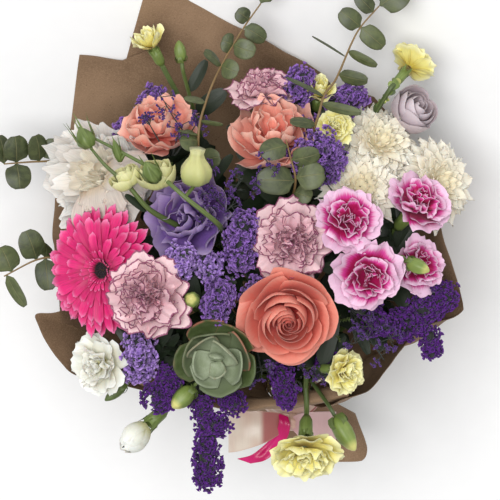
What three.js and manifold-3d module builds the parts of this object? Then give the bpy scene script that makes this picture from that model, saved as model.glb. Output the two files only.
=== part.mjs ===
// A hand-tied bouquet of mixed flowers in a kraft paper wrap, lying on the back of its wrap.
//
// Everything is laid out in the face frame, in millimetres: x to the right, y up and z toward someone
// who looks into the flowers, with its origin in the middle of the flower heads. The last lines lay
// that frame down on the table: +Z up, the origin under the middle of the bouquet.
import * as THREE from "three";
import { mergeVertices } from "three/addons/utils/BufferGeometryUtils.js";
import Module from "manifold-3d";

const wasm = await Module();
wasm.setup();

const vec = (x, y, z) => new THREE.Vector3(x, y, z);
const degrees = (angle) => THREE.MathUtils.degToRad(angle);

// Driving dimensions
const lookDown = degrees(53); // how steeply one looks down into the lying flowers
const faceHeight = 202; // the middle of the flower heads above the table
const tie = vec(33, -112, -240); // middle of the bundle where it is tied
const stemLine = vec(-0.1025, 0.445, 0.8897).normalize(); // from the cut ends to the flowers
const handleLength = 129; // from the tie to the cut ends
const stemRadius = 3;
const tiedRadius = 2.2; // the stems are drawn thin at the tie
const pressedRadius = 15.4; // where the twine presses the stems into one another
const pressedLength = 3.6;
const stemRadii = [stemRadius, stemRadius, tiedRadius, tiedRadius, 2.4, 2.2, 2.2, 2.2];
const branchRadius = 1.7;
const branchStep = 11; // between one branch and the next along their stem
const stemSpacing = 4.2;
const handleSplay = 1.9;
const handleTwist = degrees(35);
const pinchLength = 28; // how far either way the tie draws the stems together
const pinchSplay = 1.4;
const pinchTwist = 0.1;
const domeRadius = 230; // the flower heads lie on a shallow dome
const paperThickness = 1.2;
const paperNeck = 22.6; // outer radius of the gathered paper at the tie
const layerStep = 2.05;
const tailLength = 52;
const tailRadius = 33;
const heldAlong = -17; // where the ribbon's lower edge holds a wide tail in
const heldRadius = 25.6;
const ribbonThickness = 1;
const bladeThickness = 1.5;
const clearance = 0.35;
const joinTolerance = 0.2; // how much a joined solid's small facets may be evened out
const capShare = 0.15; // height of a tube's end over its radius
const tableOffset = vec(-15.6, -105.8, 0); // moves the middle of the bouquet over the origin

const colours = {
  stem: 0x5f7a3a,
  kraft: 0x8c6947,
  twine: 0xb09468,
  satin: 0xd7c3af,
  hotPink: 0xeb1482,
  gerbera: 0xe62874,
  gerberaDisc: 0x3a0d1c,
  cream: 0xe6dfd2,
  rose: 0xe88468,
  peach: 0xea917c,
  variegated: 0xd9a4ac,
  magenta: 0xd64f98,
  chrysanthemum: 0xe1d7c3,
  lisianthus: 0x8264b4,
  mauve: 0xb4a0a5,
  rosette: 0x82967d,
  white: 0xf0f0e6,
  yellow: 0xeadd8c,
  bud: 0x9cab62,
  leaf: 0x596a4b,
  deepViolet: 0x4b148c,
  violet: 0x694baa,
  lavender: 0x967dd2,
  haze: 0x5a3c78,
};

// Directions round the tie: toward the table, to the right, and away from the table.
const towardTable = vec(0, Math.cos(lookDown), -Math.sin(lookDown));
towardTable.addScaledVector(stemLine, -towardTable.dot(stemLine)).normalize();
const toRight = towardTable.clone().cross(stemLine).normalize();

// Depth of the dome of flower heads, and of the table, at a place in the face frame.
function domeAt(x, y) {
  return Math.sqrt(domeRadius ** 2 - x * x - y * y) - domeRadius;
}

function tableAt(y) {
  return (Math.cos(lookDown) * y - faceHeight) / Math.sin(lookDown);
}

// A seeded draw, so that every build is the same.
function seededDraw(seed) {
  let state = seed;
  return (low = 0, high = 1) => {
    state = (state * 1664525 + 1013904223) % 4294967296;
    return low + ((high - low) * state) / 4294967296;
  };
}

// Solids: three.js shapes them and manifold-3d joins them.
function solidOf(geometry) {
  const bare = new THREE.BufferGeometry();
  bare.setAttribute("position", geometry.getAttribute("position"));
  bare.setIndex(geometry.index);
  const merged = mergeVertices(bare, 1e-4);
  return new wasm.Manifold(
    new wasm.Mesh({
      numProp: 3,
      vertProperties: Float32Array.from(merged.attributes.position.array),
      triVerts: Uint32Array.from(merged.index.array),
    }),
  );
}

function moved(solid, matrix) {
  return solid.transform(matrix.elements);
}

// Joins solids that all touch into one body.
function fuse(solids) {
  const bodies = wasm.Manifold.union(solids).simplify(joinTolerance).decompose();
  if (bodies.length !== 1) throw new Error("a joined solid is " + bodies.length + " bodies");
  return bodies[0];
}

const placed = [];

function boxesNear(a, b) {
  return [0, 1, 2].every(
    (k) => a.min[k] < b.max[k] + clearance && b.min[k] < a.max[k] + clearance,
  );
}

function isClear(solid) {
  const box = solid.boundingBox();
  return placed.every(
    (other) =>
      !boxesNear(box, other.box) || solid.minGap(other.solid, clearance) >= clearance,
  );
}

const bouquet = new THREE.Group();

function addNode(name, solid, colour, finish = {}) {
  const mesh = solid.getMesh();
  const geometry = new THREE.BufferGeometry();
  geometry.setAttribute(
    "position",
    new THREE.BufferAttribute(mesh.vertProperties, 3),
  );
  geometry.setIndex(new THREE.BufferAttribute(mesh.triVerts, 1));
  geometry.computeVertexNormals();
  const material = new THREE.MeshStandardMaterial({
    color: colour,
    roughness: 0.8,
    metalness: 0,
    ...finish,
  });
  const node = new THREE.Mesh(geometry, material);
  node.name = name;
  bouquet.add(node);
  placed.push({ solid, box: solid.boundingBox() });
}

// A thin blade: its two faces share their rim and are split into triangles alike. at(u, v) is the
// middle surface, with u from -1 to 1 across it and v from 0 at the root to 1 at the tip.
function blade(at, columns, rows, thickness = bladeThickness) {
  const points = [];
  const front = [];
  const back = [];
  const place = (p) => points.push(p.x, p.y, p.z) / 3 - 1;
  for (let row = 0; row <= rows; row++) {
    front.push([]);
    back.push([]);
    for (let column = 0; column <= columns; column++) {
      const u = (2 * column) / columns - 1;
      const v = row / rows;
      const middle = at(u, v);
      if (row === 0 || row === rows || column === 0 || column === columns) {
        front[row].push(place(middle));
        back[row].push(front[row][column]);
        continue;
      }
      const across = at(u + 0.1, v).sub(at(u - 0.1, v));
      const along = at(u, v + 0.05).sub(at(u, v - 0.05));
      const out = across.cross(along).normalize();
      front[row].push(place(middle.clone().addScaledVector(out, thickness / 2)));
      back[row].push(place(middle.clone().addScaledVector(out, -thickness / 2)));
    }
  }
  const index = [];
  for (let row = 0; row < rows; row++) {
    for (let column = 0; column < columns; column++) {
      const rising = column < columns / 2 === row < rows / 2;
      for (const [face, turned] of [
        [front, false],
        [back, true],
      ]) {
        const a = face[row][column];
        const b = face[row][column + 1];
        const c = face[row + 1][column + 1];
        const d = face[row + 1][column];
        const triangles = rising ? [a, b, c, a, c, d] : [a, b, d, b, c, d];
        index.push(...(turned ? triangles.reverse() : triangles));
      }
    }
  }
  const geometry = new THREE.BufferGeometry();
  geometry.setAttribute("position", new THREE.Float32BufferAttribute(points, 3));
  geometry.setIndex(index);
  return geometry;
}

// Where a bloom sits, as a matrix that takes its own axis from +Z.
function placement({ at: [x, y, lift], tilt, spin = 0 }) {
  const [lean, heading] = tilt.map(degrees);
  const normal = vec(
    Math.sin(lean) * Math.cos(heading),
    Math.sin(lean) * Math.sin(heading),
    Math.cos(lean),
  );
  const turned = new THREE.Quaternion().setFromUnitVectors(vec(0, 0, 1), normal);
  turned.multiply(new THREE.Quaternion().setFromAxisAngle(vec(0, 0, 1), degrees(spin)));
  const centre = vec(x, y, domeAt(x, y) + lift);
  return new THREE.Matrix4().compose(centre, turned, vec(1, 1, 1));
}

// Closes rings of points, from the underside to the top, into one solid with a point at each end.
function closeRings(rings, bottom, top) {
  const columns = rings[0].length;
  const points = [bottom, ...rings.flat(), top].flatMap((p) => [p.x, p.y, p.z]);
  const index = [];
  const at = (ring, column) => 1 + ring * columns + (column % columns);
  const last = 1 + rings.length * columns;
  for (let j = 0; j < columns; j++) {
    index.push(0, at(0, j + 1), at(0, j));
    index.push(last, at(rings.length - 1, j), at(rings.length - 1, j + 1));
    for (let i = 0; i < rings.length - 1; i++) {
      const [a, b] = [at(i, j), at(i, j + 1)];
      const [c, d] = [at(i + 1, j + 1), at(i + 1, j)];
      if ((i + j) % 2) index.push(a, b, c, a, c, d);
      else index.push(a, b, d, b, c, d);
    }
  }
  const geometry = new THREE.BufferGeometry();
  geometry.setAttribute("position", new THREE.Float32BufferAttribute(points, 3));
  geometry.setIndex(index);
  return geometry;
}

// How near a lobe may come to a neighbour, tried by turns.
const probeMargins = [1.6, 2.4, 3.2, 4.2, 5.2, 6.4];

// How far a lobe may be bent up, in degrees, and drawn in to pass a neighbour. The last always holds.
const escapes = [
  [0, 1],
  [12, 1],
  [24, 0.95],
  [36, 0.9],
  [-14, 0.94],
  [48, 0.85],
  [60, 0.75],
  [70, 0.6],
  [80, 0.45],
];

// A bloom is one surface. From its underside it runs out along the lower side of each layer of
// petals, round the lobed rim, and back along the upper side to where the next layer starts.
function bloomSolid(form, place, margin) {
  const columns = form.lobes * form.perLobe;
  const matrix = placement(place);
  matrix.multiply(new THREE.Matrix4().makeScale(place.size, place.size, place.size));
  const probe = solidOf(new THREE.OctahedronGeometry(margin, 0));
  const free = (point) => {
    const at = point.clone().applyMatrix4(matrix);
    return isClear(probe.translate(at.x, at.y, at.z));
  };
  const draw = seededDraw(1 + Math.abs(place.at[0] * 7 + place.at[1]));
  const [rootRadius, rootHeight] = form.root;
  const foot = [rootRadius, rootHeight];
  const rings = [];
  const ring = (pointOf) => Array.from({ length: columns }, (_, j) => pointOf(j));
  const spot = (j, r, z) => {
    const angle = (2 * Math.PI * j) / columns;
    return vec(r * Math.cos(angle), r * Math.sin(angle), z);
  };
  rings.push(ring((j) => spot(j, foot[0], foot[1])));
  form.layers.forEach((layer, k) => {
    const [rimRadius, rimHeight] = layer.rim;
    const [valleyRadius, valleyHeight] = layer.valley;
    const lobes = ring((j) => {
      const angle = (2 * Math.PI * j) / columns;
      const wave = Math.cos(form.lobes * angle + k * Math.PI);
      const share = 1 - (layer.notch * (1 - wave)) / 2 + draw(-1, 1) * (layer.jitter ?? 0.03);
      const ruffle = (layer.ruffle ?? 0) * (j % 2 ? 1 : -1) + draw(-1, 1) * 0.02;
      const start = [(foot[0] + valleyRadius) / 2, (foot[1] + valleyHeight) / 2];
      const out = start[0] + (rimRadius - start[0]) * share;
      const up = start[1] + (rimHeight - start[1]) * (1 - 0.35 * (1 - share)) + ruffle;
      for (const escape of escapes) {
        const turn = degrees(escape[0]);
        const reach = [(out - start[0]) * escape[1], (up - start[1]) * escape[1]];
        const rim = [
          start[0] + reach[0] * Math.cos(turn) - reach[1] * Math.sin(turn),
          start[1] + reach[0] * Math.sin(turn) + reach[1] * Math.cos(turn),
        ];
        const belly = layer.belly ?? 0;
        const length = Math.hypot(rim[0] - start[0], rim[1] - start[1]);
        const side = [(rim[1] - start[1]) / length, -(rim[0] - start[0]) / length];
        const mid = [
          (start[0] + rim[0]) / 2 + side[0] * belly * length,
          (start[1] + rim[1]) / 2 + side[1] * belly * length,
        ];
        const isFree = free(spot(j, ...rim)) && free(spot(j, ...mid));
        if (isFree || escape === escapes.at(-1)) return { rim, mid, side };
      }
    });
    const beside = (j, sign) => {
      const { mid, side } = lobes[j];
      const off = (sign * form.thickness) / 2;
      return spot(j, mid[0] + side[0] * off, mid[1] + side[1] * off);
    };
    rings.push(ring((j) => beside(j, 1)));
    rings.push(ring((j) => spot(j, ...lobes[j].rim)));
    rings.push(ring((j) => beside(j, -1)));
    rings.push(ring((j) => spot(j, valleyRadius, valleyHeight)));
    foot[0] = valleyRadius;
    foot[1] = valleyHeight;
  });
  const geometry = closeRings(
    rings,
    vec(0, 0, rootHeight - rootRadius * 0.35),
    vec(0, 0, foot[1] + form.crown),
  );
  return moved(solidOf(geometry), matrix);
}

// Adds a bloom, its lobes drawn further from their neighbours until it is clear of them.
function addBloom(name, place) {
  const form = forms[place.form];
  const clearMargin = probeMargins.find((margin) => isClear(bloomSolid(form, place, margin)));
  if (!clearMargin) throw new Error(name + " crosses a neighbour");
  addNode(name, bloomSolid(form, place, clearMargin), place.colour ?? form.colour);
}

// The blooms' forms at a radius of one, as their layers from the lowest: where each rim is, out
// from the bloom's axis and up, how deep its lobes are cut, and where the valley above it lies.
const forms = {
  gerbera: {
    colour: colours.gerbera,
    lobes: 18,
    perLobe: 2,
    root: [0.2, -0.24],
    thickness: 0.035,
    layers: [
      { rim: [1, 0], valley: [0.19, -0.17], notch: 0.6, belly: 0.04 },
      { rim: [0.84, 0.1], valley: [0.18, -0.06], notch: 0.6, belly: 0.05 },
    ],
    crown: 0,
  },
  peony: {
    colour: colours.cream,
    lobes: 6,
    perLobe: 3,
    root: [0.24, -0.56],
    thickness: 0.05,
    layers: [
      { rim: [1, 0], valley: [0.24, -0.42], notch: 0.26, belly: 0.16, ruffle: 0.03, jitter: 0.06 },
      { rim: [0.86, 0.2], valley: [0.22, -0.26], notch: 0.28, belly: 0.16, ruffle: 0.03, jitter: 0.06 },
      { rim: [0.6, 0.32], valley: [0.14, -0.06], notch: 0.28, belly: 0.14, ruffle: 0.02, jitter: 0.06 },
      { rim: [0.32, 0.34], valley: [0.06, 0.1], notch: 0.3, belly: 0.1, ruffle: 0.02, jitter: 0.05 },
    ],
    crown: 0.1,
  },
  rose: {
    colour: colours.rose,
    lobes: 5,
    perLobe: 3,
    root: [0.24, -1.1],
    thickness: 0.06,
    layers: [
      { rim: [1, -0.08], valley: [0.34, -0.8], notch: 0.16, belly: 0.16, jitter: 0.05 },
      { rim: [0.84, 0.08], valley: [0.34, -0.5], notch: 0.12, belly: 0.2 },
      { rim: [0.6, 0.16], valley: [0.24, -0.3], notch: 0.12, belly: 0.18 },
      { rim: [0.36, 0.2], valley: [0.1, -0.1], notch: 0.14, belly: 0.14 },
    ],
    crown: 0.16,
  },
  ruffled: {
    colour: colours.peach,
    lobes: 5,
    perLobe: 3,
    root: [0.2, -0.95],
    thickness: 0.06,
    layers: [
      { rim: [1, -0.06], valley: [0.28, -0.66], notch: 0.22, belly: 0.16, ruffle: 0.05, jitter: 0.07 },
      { rim: [0.76, 0.14], valley: [0.24, -0.36], notch: 0.2, belly: 0.16, ruffle: 0.05, jitter: 0.07 },
      { rim: [0.42, 0.2], valley: [0.08, -0.06], notch: 0.24, belly: 0.12, ruffle: 0.04, jitter: 0.06 },
    ],
    crown: 0.1,
  },
  carnation: {
    colour: colours.variegated,
    lobes: 5,
    perLobe: 3,
    root: [0.18, -0.72],
    thickness: 0.055,
    layers: [
      { rim: [1, -0.16], valley: [0.2, -0.46], notch: 0.24, belly: -0.1, ruffle: 0.04, jitter: 0.06 },
      { rim: [0.82, 0.1], valley: [0.18, -0.24], notch: 0.22, belly: 0, ruffle: 0.05, jitter: 0.06 },
      { rim: [0.5, 0.26], valley: [0.08, 0], notch: 0.24, belly: 0.06, ruffle: 0.05, jitter: 0.06 },
    ],
    crown: 0.14,
  },
  smallCarnation: {
    colour: colours.magenta,
    lobes: 4,
    perLobe: 3,
    root: [0.2, -0.76],
    thickness: 0.07,
    layers: [
      { rim: [1, -0.1], valley: [0.22, -0.46], notch: 0.22, belly: 0.04, ruffle: 0.05, jitter: 0.07 },
      { rim: [0.66, 0.16], valley: [0.12, -0.16], notch: 0.22, belly: 0.1, ruffle: 0.05, jitter: 0.06 },
    ],
    crown: 0.14,
  },
  chrysanthemum: {
    colour: colours.chrysanthemum,
    lobes: 7,
    perLobe: 2,
    root: [0.2, -0.46],
    thickness: 0.06,
    layers: [
      { rim: [1, -0.1], valley: [0.2, -0.3], notch: 0.62, belly: 0.06, jitter: 0.08 },
      { rim: [0.84, 0.16], valley: [0.18, -0.16], notch: 0.6, belly: 0.08, jitter: 0.08 },
      { rim: [0.5, 0.3], valley: [0.12, -0.02], notch: 0.5, belly: 0.08, jitter: 0.08 },
    ],
    crown: 0.1,
  },
  rosette: {
    colour: colours.rosette,
    lobes: 5,
    perLobe: 2,
    root: [0.24, -0.56],
    thickness: 0.13,
    layers: [
      { rim: [1, -0.06], valley: [0.26, -0.3], notch: 0.34, belly: 0.16, jitter: 0.04 },
      { rim: [0.78, 0.12], valley: [0.2, -0.1], notch: 0.4, belly: 0.14, jitter: 0.04 },
      { rim: [0.42, 0.2], valley: [0.08, 0.06], notch: 0.4, belly: 0.1, jitter: 0.04 },
    ],
    crown: 0.06,
  },
  opening: {
    colour: colours.yellow,
    lobes: 5,
    perLobe: 2,
    root: [0.4, -0.9],
    thickness: 0.16,
    layers: [
      { rim: [1, 0.6], valley: [0.3, -0.1], notch: 0.2, belly: 0.2, jitter: 0.06 },
    ],
    crown: 0.3,
  },
};

// The blooms. at: x and y in the picture, and how far it stands out of the dome. tilt: how many
// degrees it leans from the viewer, and toward which angle in the picture, 0 right and 90 up.
const blooms = {
  rosette: { form: "rosette", at: [-29, -94, 10], tilt: [22, 250], size: 33 },
  rose: { form: "rose", at: [32, -60, 10], tilt: [22, 275], size: 37 },
  carnation_left: { form: "carnation", at: [-85, -39, 20], tilt: [18, 200], size: 36 },
  spray_carnation_1: { form: "smallCarnation", at: [83, 27, 10], tilt: [12, 40], size: 27 },
  spray_carnation_3: { form: "smallCarnation", at: [100, -22, 12], tilt: [14, 320], size: 30 },
  carnation_middle: { form: "carnation", at: [35, 6, -6], tilt: [8, 330], size: 35, spin: 20 },
  gerbera: { form: "gerbera", at: [-124, -17, -8], tilt: [36, 184], size: 52 },
  spray_carnation_2: { form: "smallCarnation", at: [144, 42, 14], tilt: [44, 48], size: 28 },
  spray_carnation_4: { form: "smallCarnation", at: [143, -12, -2], tilt: [34, 10], size: 24 },
  peach_rose_middle: { form: "ruffled", at: [19, 102, 2], tilt: [42, 95], size: 34 },
  lisianthus: {
    form: "ruffled", at: [-57, 27, -10], tilt: [26, 168],
    size: 34, colour: colours.lisianthus,
  },
  peach_rose_left: { form: "ruffled", at: [-79, 110, -2], tilt: [48, 105], size: 29, spin: 30 },
  peony: { form: "peony", at: [-125, 60, -20], tilt: [24, 172], size: 48 },
  chrysanthemum_middle: { form: "chrysanthemum", at: [92, 53, -16], tilt: [14, 60], size: 30 },
  chrysanthemum_top: {
    form: "chrysanthemum", at: [108, 90, -16], tilt: [34, 52],
    size: 33, spin: 15,
  },
  chrysanthemum_right: {
    form: "chrysanthemum", at: [158, 56, -4], tilt: [42, 15],
    size: 34, spin: 23,
  },
  carnation_top: { form: "carnation", at: [11, 130, -18], tilt: [74, 92], size: 30, spin: 20 },
  mauve_rose: {
    form: "opening", at: [138, 118, 6], tilt: [48, 40],
    size: 18, colour: colours.mauve,
  },
  white_carnation: {
    form: "smallCarnation", at: [-127, -97, 6], tilt: [40, 195],
    size: 28, colour: colours.white,
  },
  white_bud: {
    form: "opening", at: [-94, -154, 6], tilt: [74, 222],
    size: 12, colour: colours.white,
  },
  yellow_top_left: { form: "opening", at: [-85, 176, 24], tilt: [72, 118], size: 12 },
  yellow_top_right: {
    form: "smallCarnation", at: [138, 157, 52], tilt: [98, 50],
    size: 19, colour: colours.yellow,
  },
  yellow_back: {
    form: "smallCarnation", at: [72, 104, 8], tilt: [26, 60],
    size: 15, colour: colours.yellow,
  },
  yellow_back_small: { form: "opening", at: [58, 134, 0], tilt: [44, 80], size: 9 },
  yellow_front_right: {
    form: "smallCarnation", at: [82, -102, -2], tilt: [46, 352],
    size: 20, colour: colours.yellow,
  },
  yellow_front: {
    form: "smallCarnation", at: [46, -175, 26], tilt: [48, 268],
    size: 29, colour: colours.yellow,
  },
};

// Paper: spines run from the paper's tail through the tie to its rim. The side of the first
// direction to the second is the outside, and the inside is the paper's thickness away.
function sheet(spines, thickness) {
  const rows = spines[0].length;
  const points = [];
  const outer = spines.map((spine) => spine.map((p) => points.push(p.x, p.y, p.z) / 3 - 1));
  const inner = spines.map((spine, i) =>
    spine.map((p, j) => {
      const across = spines[Math.min(i + 1, spines.length - 1)][j]
        .clone()
        .sub(spines[Math.max(i - 1, 0)][j]);
      const along = spine[Math.min(j + 1, rows - 1)]
        .clone()
        .sub(spine[Math.max(j - 1, 0)]);
      const inward = across.cross(along).normalize().multiplyScalar(thickness);
      return points.push(p.x + inward.x, p.y + inward.y, p.z + inward.z) / 3 - 1;
    }),
  );
  const index = [];
  const quad = (a, b, c, d) => index.push(a, b, c, a, c, d);
  for (let i = 0; i < spines.length - 1; i++) {
    for (let j = 0; j < rows - 1; j++) {
      quad(inner[i + 1][j], inner[i + 1][j + 1], inner[i][j + 1], inner[i][j]);
      quad(outer[i][j + 1], outer[i + 1][j + 1], outer[i + 1][j], outer[i][j]);
    }
    quad(outer[i][0], outer[i + 1][0], inner[i + 1][0], inner[i][0]);
    quad(inner[i][rows - 1], inner[i + 1][rows - 1], outer[i + 1][rows - 1], outer[i][rows - 1]);
  }
  const last = spines.length - 1;
  for (let j = 0; j < rows - 1; j++) {
    quad(inner[0][j], inner[0][j + 1], outer[0][j + 1], outer[0][j]);
    quad(outer[last][j], outer[last][j + 1], inner[last][j + 1], inner[last][j]);
  }
  const geometry = new THREE.BufferGeometry();
  geometry.setAttribute("position", new THREE.Float32BufferAttribute(points, 3));
  geometry.setIndex(index);
  return geometry;
}

// The angle round the tie of a point: 0 toward the table, 90 to the right, 180 away from the table.
function angleRoundTie(point) {
  const from = point.clone().sub(tie);
  return Math.atan2(from.dot(toRight), from.dot(towardTable));
}

function roundTie(angle, radius, along) {
  return tie
    .clone()
    .addScaledVector(towardTable, Math.cos(angle) * radius)
    .addScaledVector(toRight, Math.sin(angle) * radius)
    .addScaledVector(stemLine, along);
}

// A spine that goes down to the table at its knee and then lies on it, up to its rim.
function layingSpine(layer, rim, knee) {
  const onTable = ([x, y, lift = 0]) => vec(x, y, tableAt(y) + lift);
  const edge = onTable(rim);
  const bend = onTable(knee);
  const angle = angleRoundTie(bend);
  const neck = roundTie(angle, paperNeck - layer * layerStep, 0);
  const outward = roundTie(angle, 1, 0).sub(tie);
  const halfway = bend.clone().lerp(edge, 0.5);
  halfway.z = tableAt(halfway.y) + (knee[2] ?? 0) + 0.25 * ((rim[2] ?? 0) - (knee[2] ?? 0));
  return [
    roundTie(angle, tailRadius - layer * layerStep, -tailLength),
    neck,
    neck.clone().lerp(bend, 0.5).addScaledVector(outward, -layer * layerStep),
    bend,
    halfway,
    edge,
  ];
}

// A spine that stands up from the tie, a little bellied, to its rim. Where the tail flares wide, a
// point under the ribbon holds it in.
function standingSpine(layer, rim, belly, wideTail = 0) {
  const edge = vec(...rim);
  const angle = angleRoundTie(edge);
  const inset = layer * layerStep;
  const neck = roundTie(angle, paperNeck - inset, 0);
  const outward = roundTie(angle, 1, 0).sub(tie);
  const between = (share) =>
    neck
      .clone()
      .lerp(edge, share)
      .addScaledVector(outward, belly * Math.sin(Math.PI * share));
  const tail = [roundTie(angle, (wideTail || tailRadius) - inset, -tailLength)];
  if (wideTail) tail.push(roundTie(angle, heldRadius - inset, heldAlong));
  return [...tail, neck, between(0.25), between(0.5), between(0.75), edge];
}

// The front lip's paper is rolled inward along its rim.
const lipRoll = [
  [8, -2],
  [11, -10],
];

function lipSpine(layer, rim, belly) {
  const spine = standingSpine(layer, rim, belly);
  return spine.concat(lipRoll.map(([y, z]) => vec(rim[0] * 0.98, rim[1] + y, rim[2] + z)));
}

const wrapSheets = {
  wrap_back: [
    layingSpine(0, [-104, 160], [-26, 18]),
    layingSpine(0, [-82, 230], [-14, 22]),
    layingSpine(0, [-50, 208], [0, 24]),
    layingSpine(0, [-15, 190], [14, 26]),
    layingSpine(0, [20, 172, 8], [28, 26]),
    layingSpine(0, [60, 148, 14], [42, 24]),
    layingSpine(0, [83, 121, 18], [54, 20]),
  ],
  wrap_corner: [
    standingSpine(1, [-160, -50, -126], 6),
    layingSpine(1, [-166, 10, 40], [-92, -40, 16]),
    layingSpine(1, [-164, 50, 12], [-78, -18, 4]),
    layingSpine(1, [-153, 87], [-66, -2]),
    layingSpine(1, [-143, 164], [-48, 10]),
    layingSpine(1, [-107, 160, 2.8], [-30, 22, 2.8]),
    layingSpine(1, [-80, 170, 3], [-19, 29, 3.4]),
  ],
  wrap_left: [
    standingSpine(0, [-84, -119, -112], 4),
    standingSpine(0, [-129, -108, -112], 6),
    standingSpine(0, [-154, -100, -113], 8),
    standingSpine(0, [-181, -57, -118], 8),
    standingSpine(0, [-163, -52, -128], 8),
  ],
  wrap_front: [
    lipSpine(1, [78, -124, -104], 4),
    lipSpine(1, [32, -131, -108], 3),
    lipSpine(1, [-12, -134, -108], 3),
    lipSpine(1, [-50, -127, -108], 4),
    lipSpine(1, [-88, -114, -108], 4),
  ],
  wrap_right_front: [
    standingSpine(0, [139, -68, -96], 8, 54),
    standingSpine(0, [112, -104, -96], 8, 72),
    standingSpine(0, [98, -119, -100], 6, 76),
    standingSpine(0, [73, -128, -106], 5, 62),
  ],
  wrap_right: [
    layingSpine(1, [72, 128, 26], [44, 33, 3.4]),
    layingSpine(1, [104, 129, 20], [60, 15, 2.8]),
    layingSpine(1, [140, 84, 14], [86, -14, 4]),
    layingSpine(1, [154, 52, 50], [98, -40, 20]),
    standingSpine(1, [161, 18, -112], 10),
    standingSpine(1, [179, -50, -106], 10),
    standingSpine(1, [150, -63, -112], 8),
  ],
};

function addWrap() {
  for (const [name, spines] of Object.entries(wrapSheets)) {
    addNode(name, solidOf(sheet(spines, paperThickness)), colours.kraft);
  }
}

// A tube through its points, with a low point at each end. Its radius is a number, a list with one
// for each point, or a function of the point's number and the side's.
function tube(points, radius, sides, endShare = capShare) {
  const radiusAt = typeof radius === "function" ? radius : (i) => radius[i] ?? radius;
  const tangentAt = (i) =>
    points[Math.min(i + 1, points.length - 1)].clone().sub(points[Math.max(i - 1, 0)]).normalize();
  let across = vec(0.3, 1, 0.2);
  const rings = points.map((p, i) => {
    const tangent = tangentAt(i);
    across = across.clone().addScaledVector(tangent, -across.dot(tangent)).normalize();
    const beside = tangent.clone().cross(across);
    return Array.from({ length: sides }, (_, j) => {
      const angle = (2 * Math.PI * j) / sides;
      return p
        .clone()
        .addScaledVector(across, radiusAt(i, j) * Math.cos(angle))
        .addScaledVector(beside, radiusAt(i, j) * Math.sin(angle));
    });
  });
  const last = points.length - 1;
  return solidOf(
    closeRings(
      rings,
      points[0].clone().addScaledVector(tangentAt(0), -radiusAt(0, 0) * capShare),
      points[last].clone().addScaledVector(tangentAt(last), radiusAt(last, 0) * endShare),
    ),
  );
}

function smooth(points, steps) {
  return new THREE.CatmullRomCurve3(points, false, "centripetal").getSpacedPoints(steps);
}

// A solid of revolution round its own Z axis, set at a point along a direction.
function turnedAlong(profile, sides, point, direction) {
  const outline = profile.map(([r, z]) => new THREE.Vector2(r, z));
  const geometry = new THREE.LatheGeometry(outline, sides).rotateX(Math.PI / 2);
  geometry.deleteAttribute("normal");
  geometry.deleteAttribute("uv");
  const turned = new THREE.Quaternion().setFromUnitVectors(vec(0, 0, 1), direction);
  const matrix = new THREE.Matrix4().compose(point, turned, vec(1, 1, 1));
  return moved(solidOf(mergeVertices(geometry, 1e-4)), matrix);
}

// A bud: its foot at a point, its tip along a direction, with a bare neck for a share of its length.
function budSolid(point, direction, radius, length, neck = 0.1) {
  const body = length * (1 - neck);
  const profile = [
    [0, 0],
    [radius * 0.6, length * neck],
    [radius, length * neck + body * 0.4],
    [radius * 0.66, length * neck + body * 0.76],
    [0, length],
  ];
  return turnedAlong(profile, 5, point, direction);
}

// The small dark disc in the middle of the gerbera, ridged like its florets.
function addGerberaDisc() {
  const place = placement(blooms.gerbera);
  const size = blooms.gerbera.size;
  const top = vec(0, 0, -0.05 * size + clearance).applyMatrix4(place);
  const normal = vec(0, 0, 1).transformDirection(place);
  const profile = [
    [0, 0],
    [0.13 * size, 0],
    [0.16 * size, 0.04 * size],
    [0.13 * size, 0.08 * size],
    [0.09 * size, 0.045 * size],
    [0.05 * size, 0.07 * size],
    [0, 0.06 * size],
  ];
  addNode("gerbera_disc", turnedAlong(profile, 12, top, normal), colours.gerberaDisc);
}

// Green buds on the bundle's own stems: where the foot is, where it points, radius and length.
const buds = {
  bud_by_carnation: { at: vec(-42, -47, -6), point: vec(0.1, -0.1, 1), radius: 6, length: 14 },
  bud_low_left: { at: vec(-50, -116, -52), point: vec(-0.6, -0.75, 0.3), radius: 8, length: 22 },
  bud_behind_white: { at: vec(-91, -91, -62), point: vec(-0.5, 0.2, 0.8), radius: 6, length: 14 },
  bud_pointed: { at: vec(-104, -113, -76), point: vec(-0.8, -0.6, 0.1), radius: 5.5, length: 20 },
  bud_top: { at: vec(-57, 157, -78), point: vec(-0.2, 1, 0.2), radius: 5, length: 18 },
  bud_on_spray: { at: vec(136, -14, -28), point: vec(0.9, 0.1, 0.5), radius: 6, length: 15 },
  bud_low_right: { at: vec(74, -140, -84), point: vec(0.35, -0.95, 0.1), radius: 8.5, length: 30 },
};

// The cup under a bloom, by form: its radius and length as shares of the bloom's size.
const cups = {
  rose: [0.22, 0.2],
  ruffled: [0.2, 0.3],
  carnation: [0.17, 0.62],
  smallCarnation: [0.2, 0.8],
  opening: [0.5, 1.7],
};

// Where each bloom's cup meets its underside, and which way the stem leaves it.
function bloomFoot(bloom) {
  const { root } = forms[bloom.form];
  const place = placement(bloom);
  const depth = (root[1] - root[0] * 0.35) * bloom.size - clearance * 1.4;
  return {
    foot: vec(0, 0, depth).applyMatrix4(place),
    axis: vec(0, 0, 1).transformDirection(place),
  };
}

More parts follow.
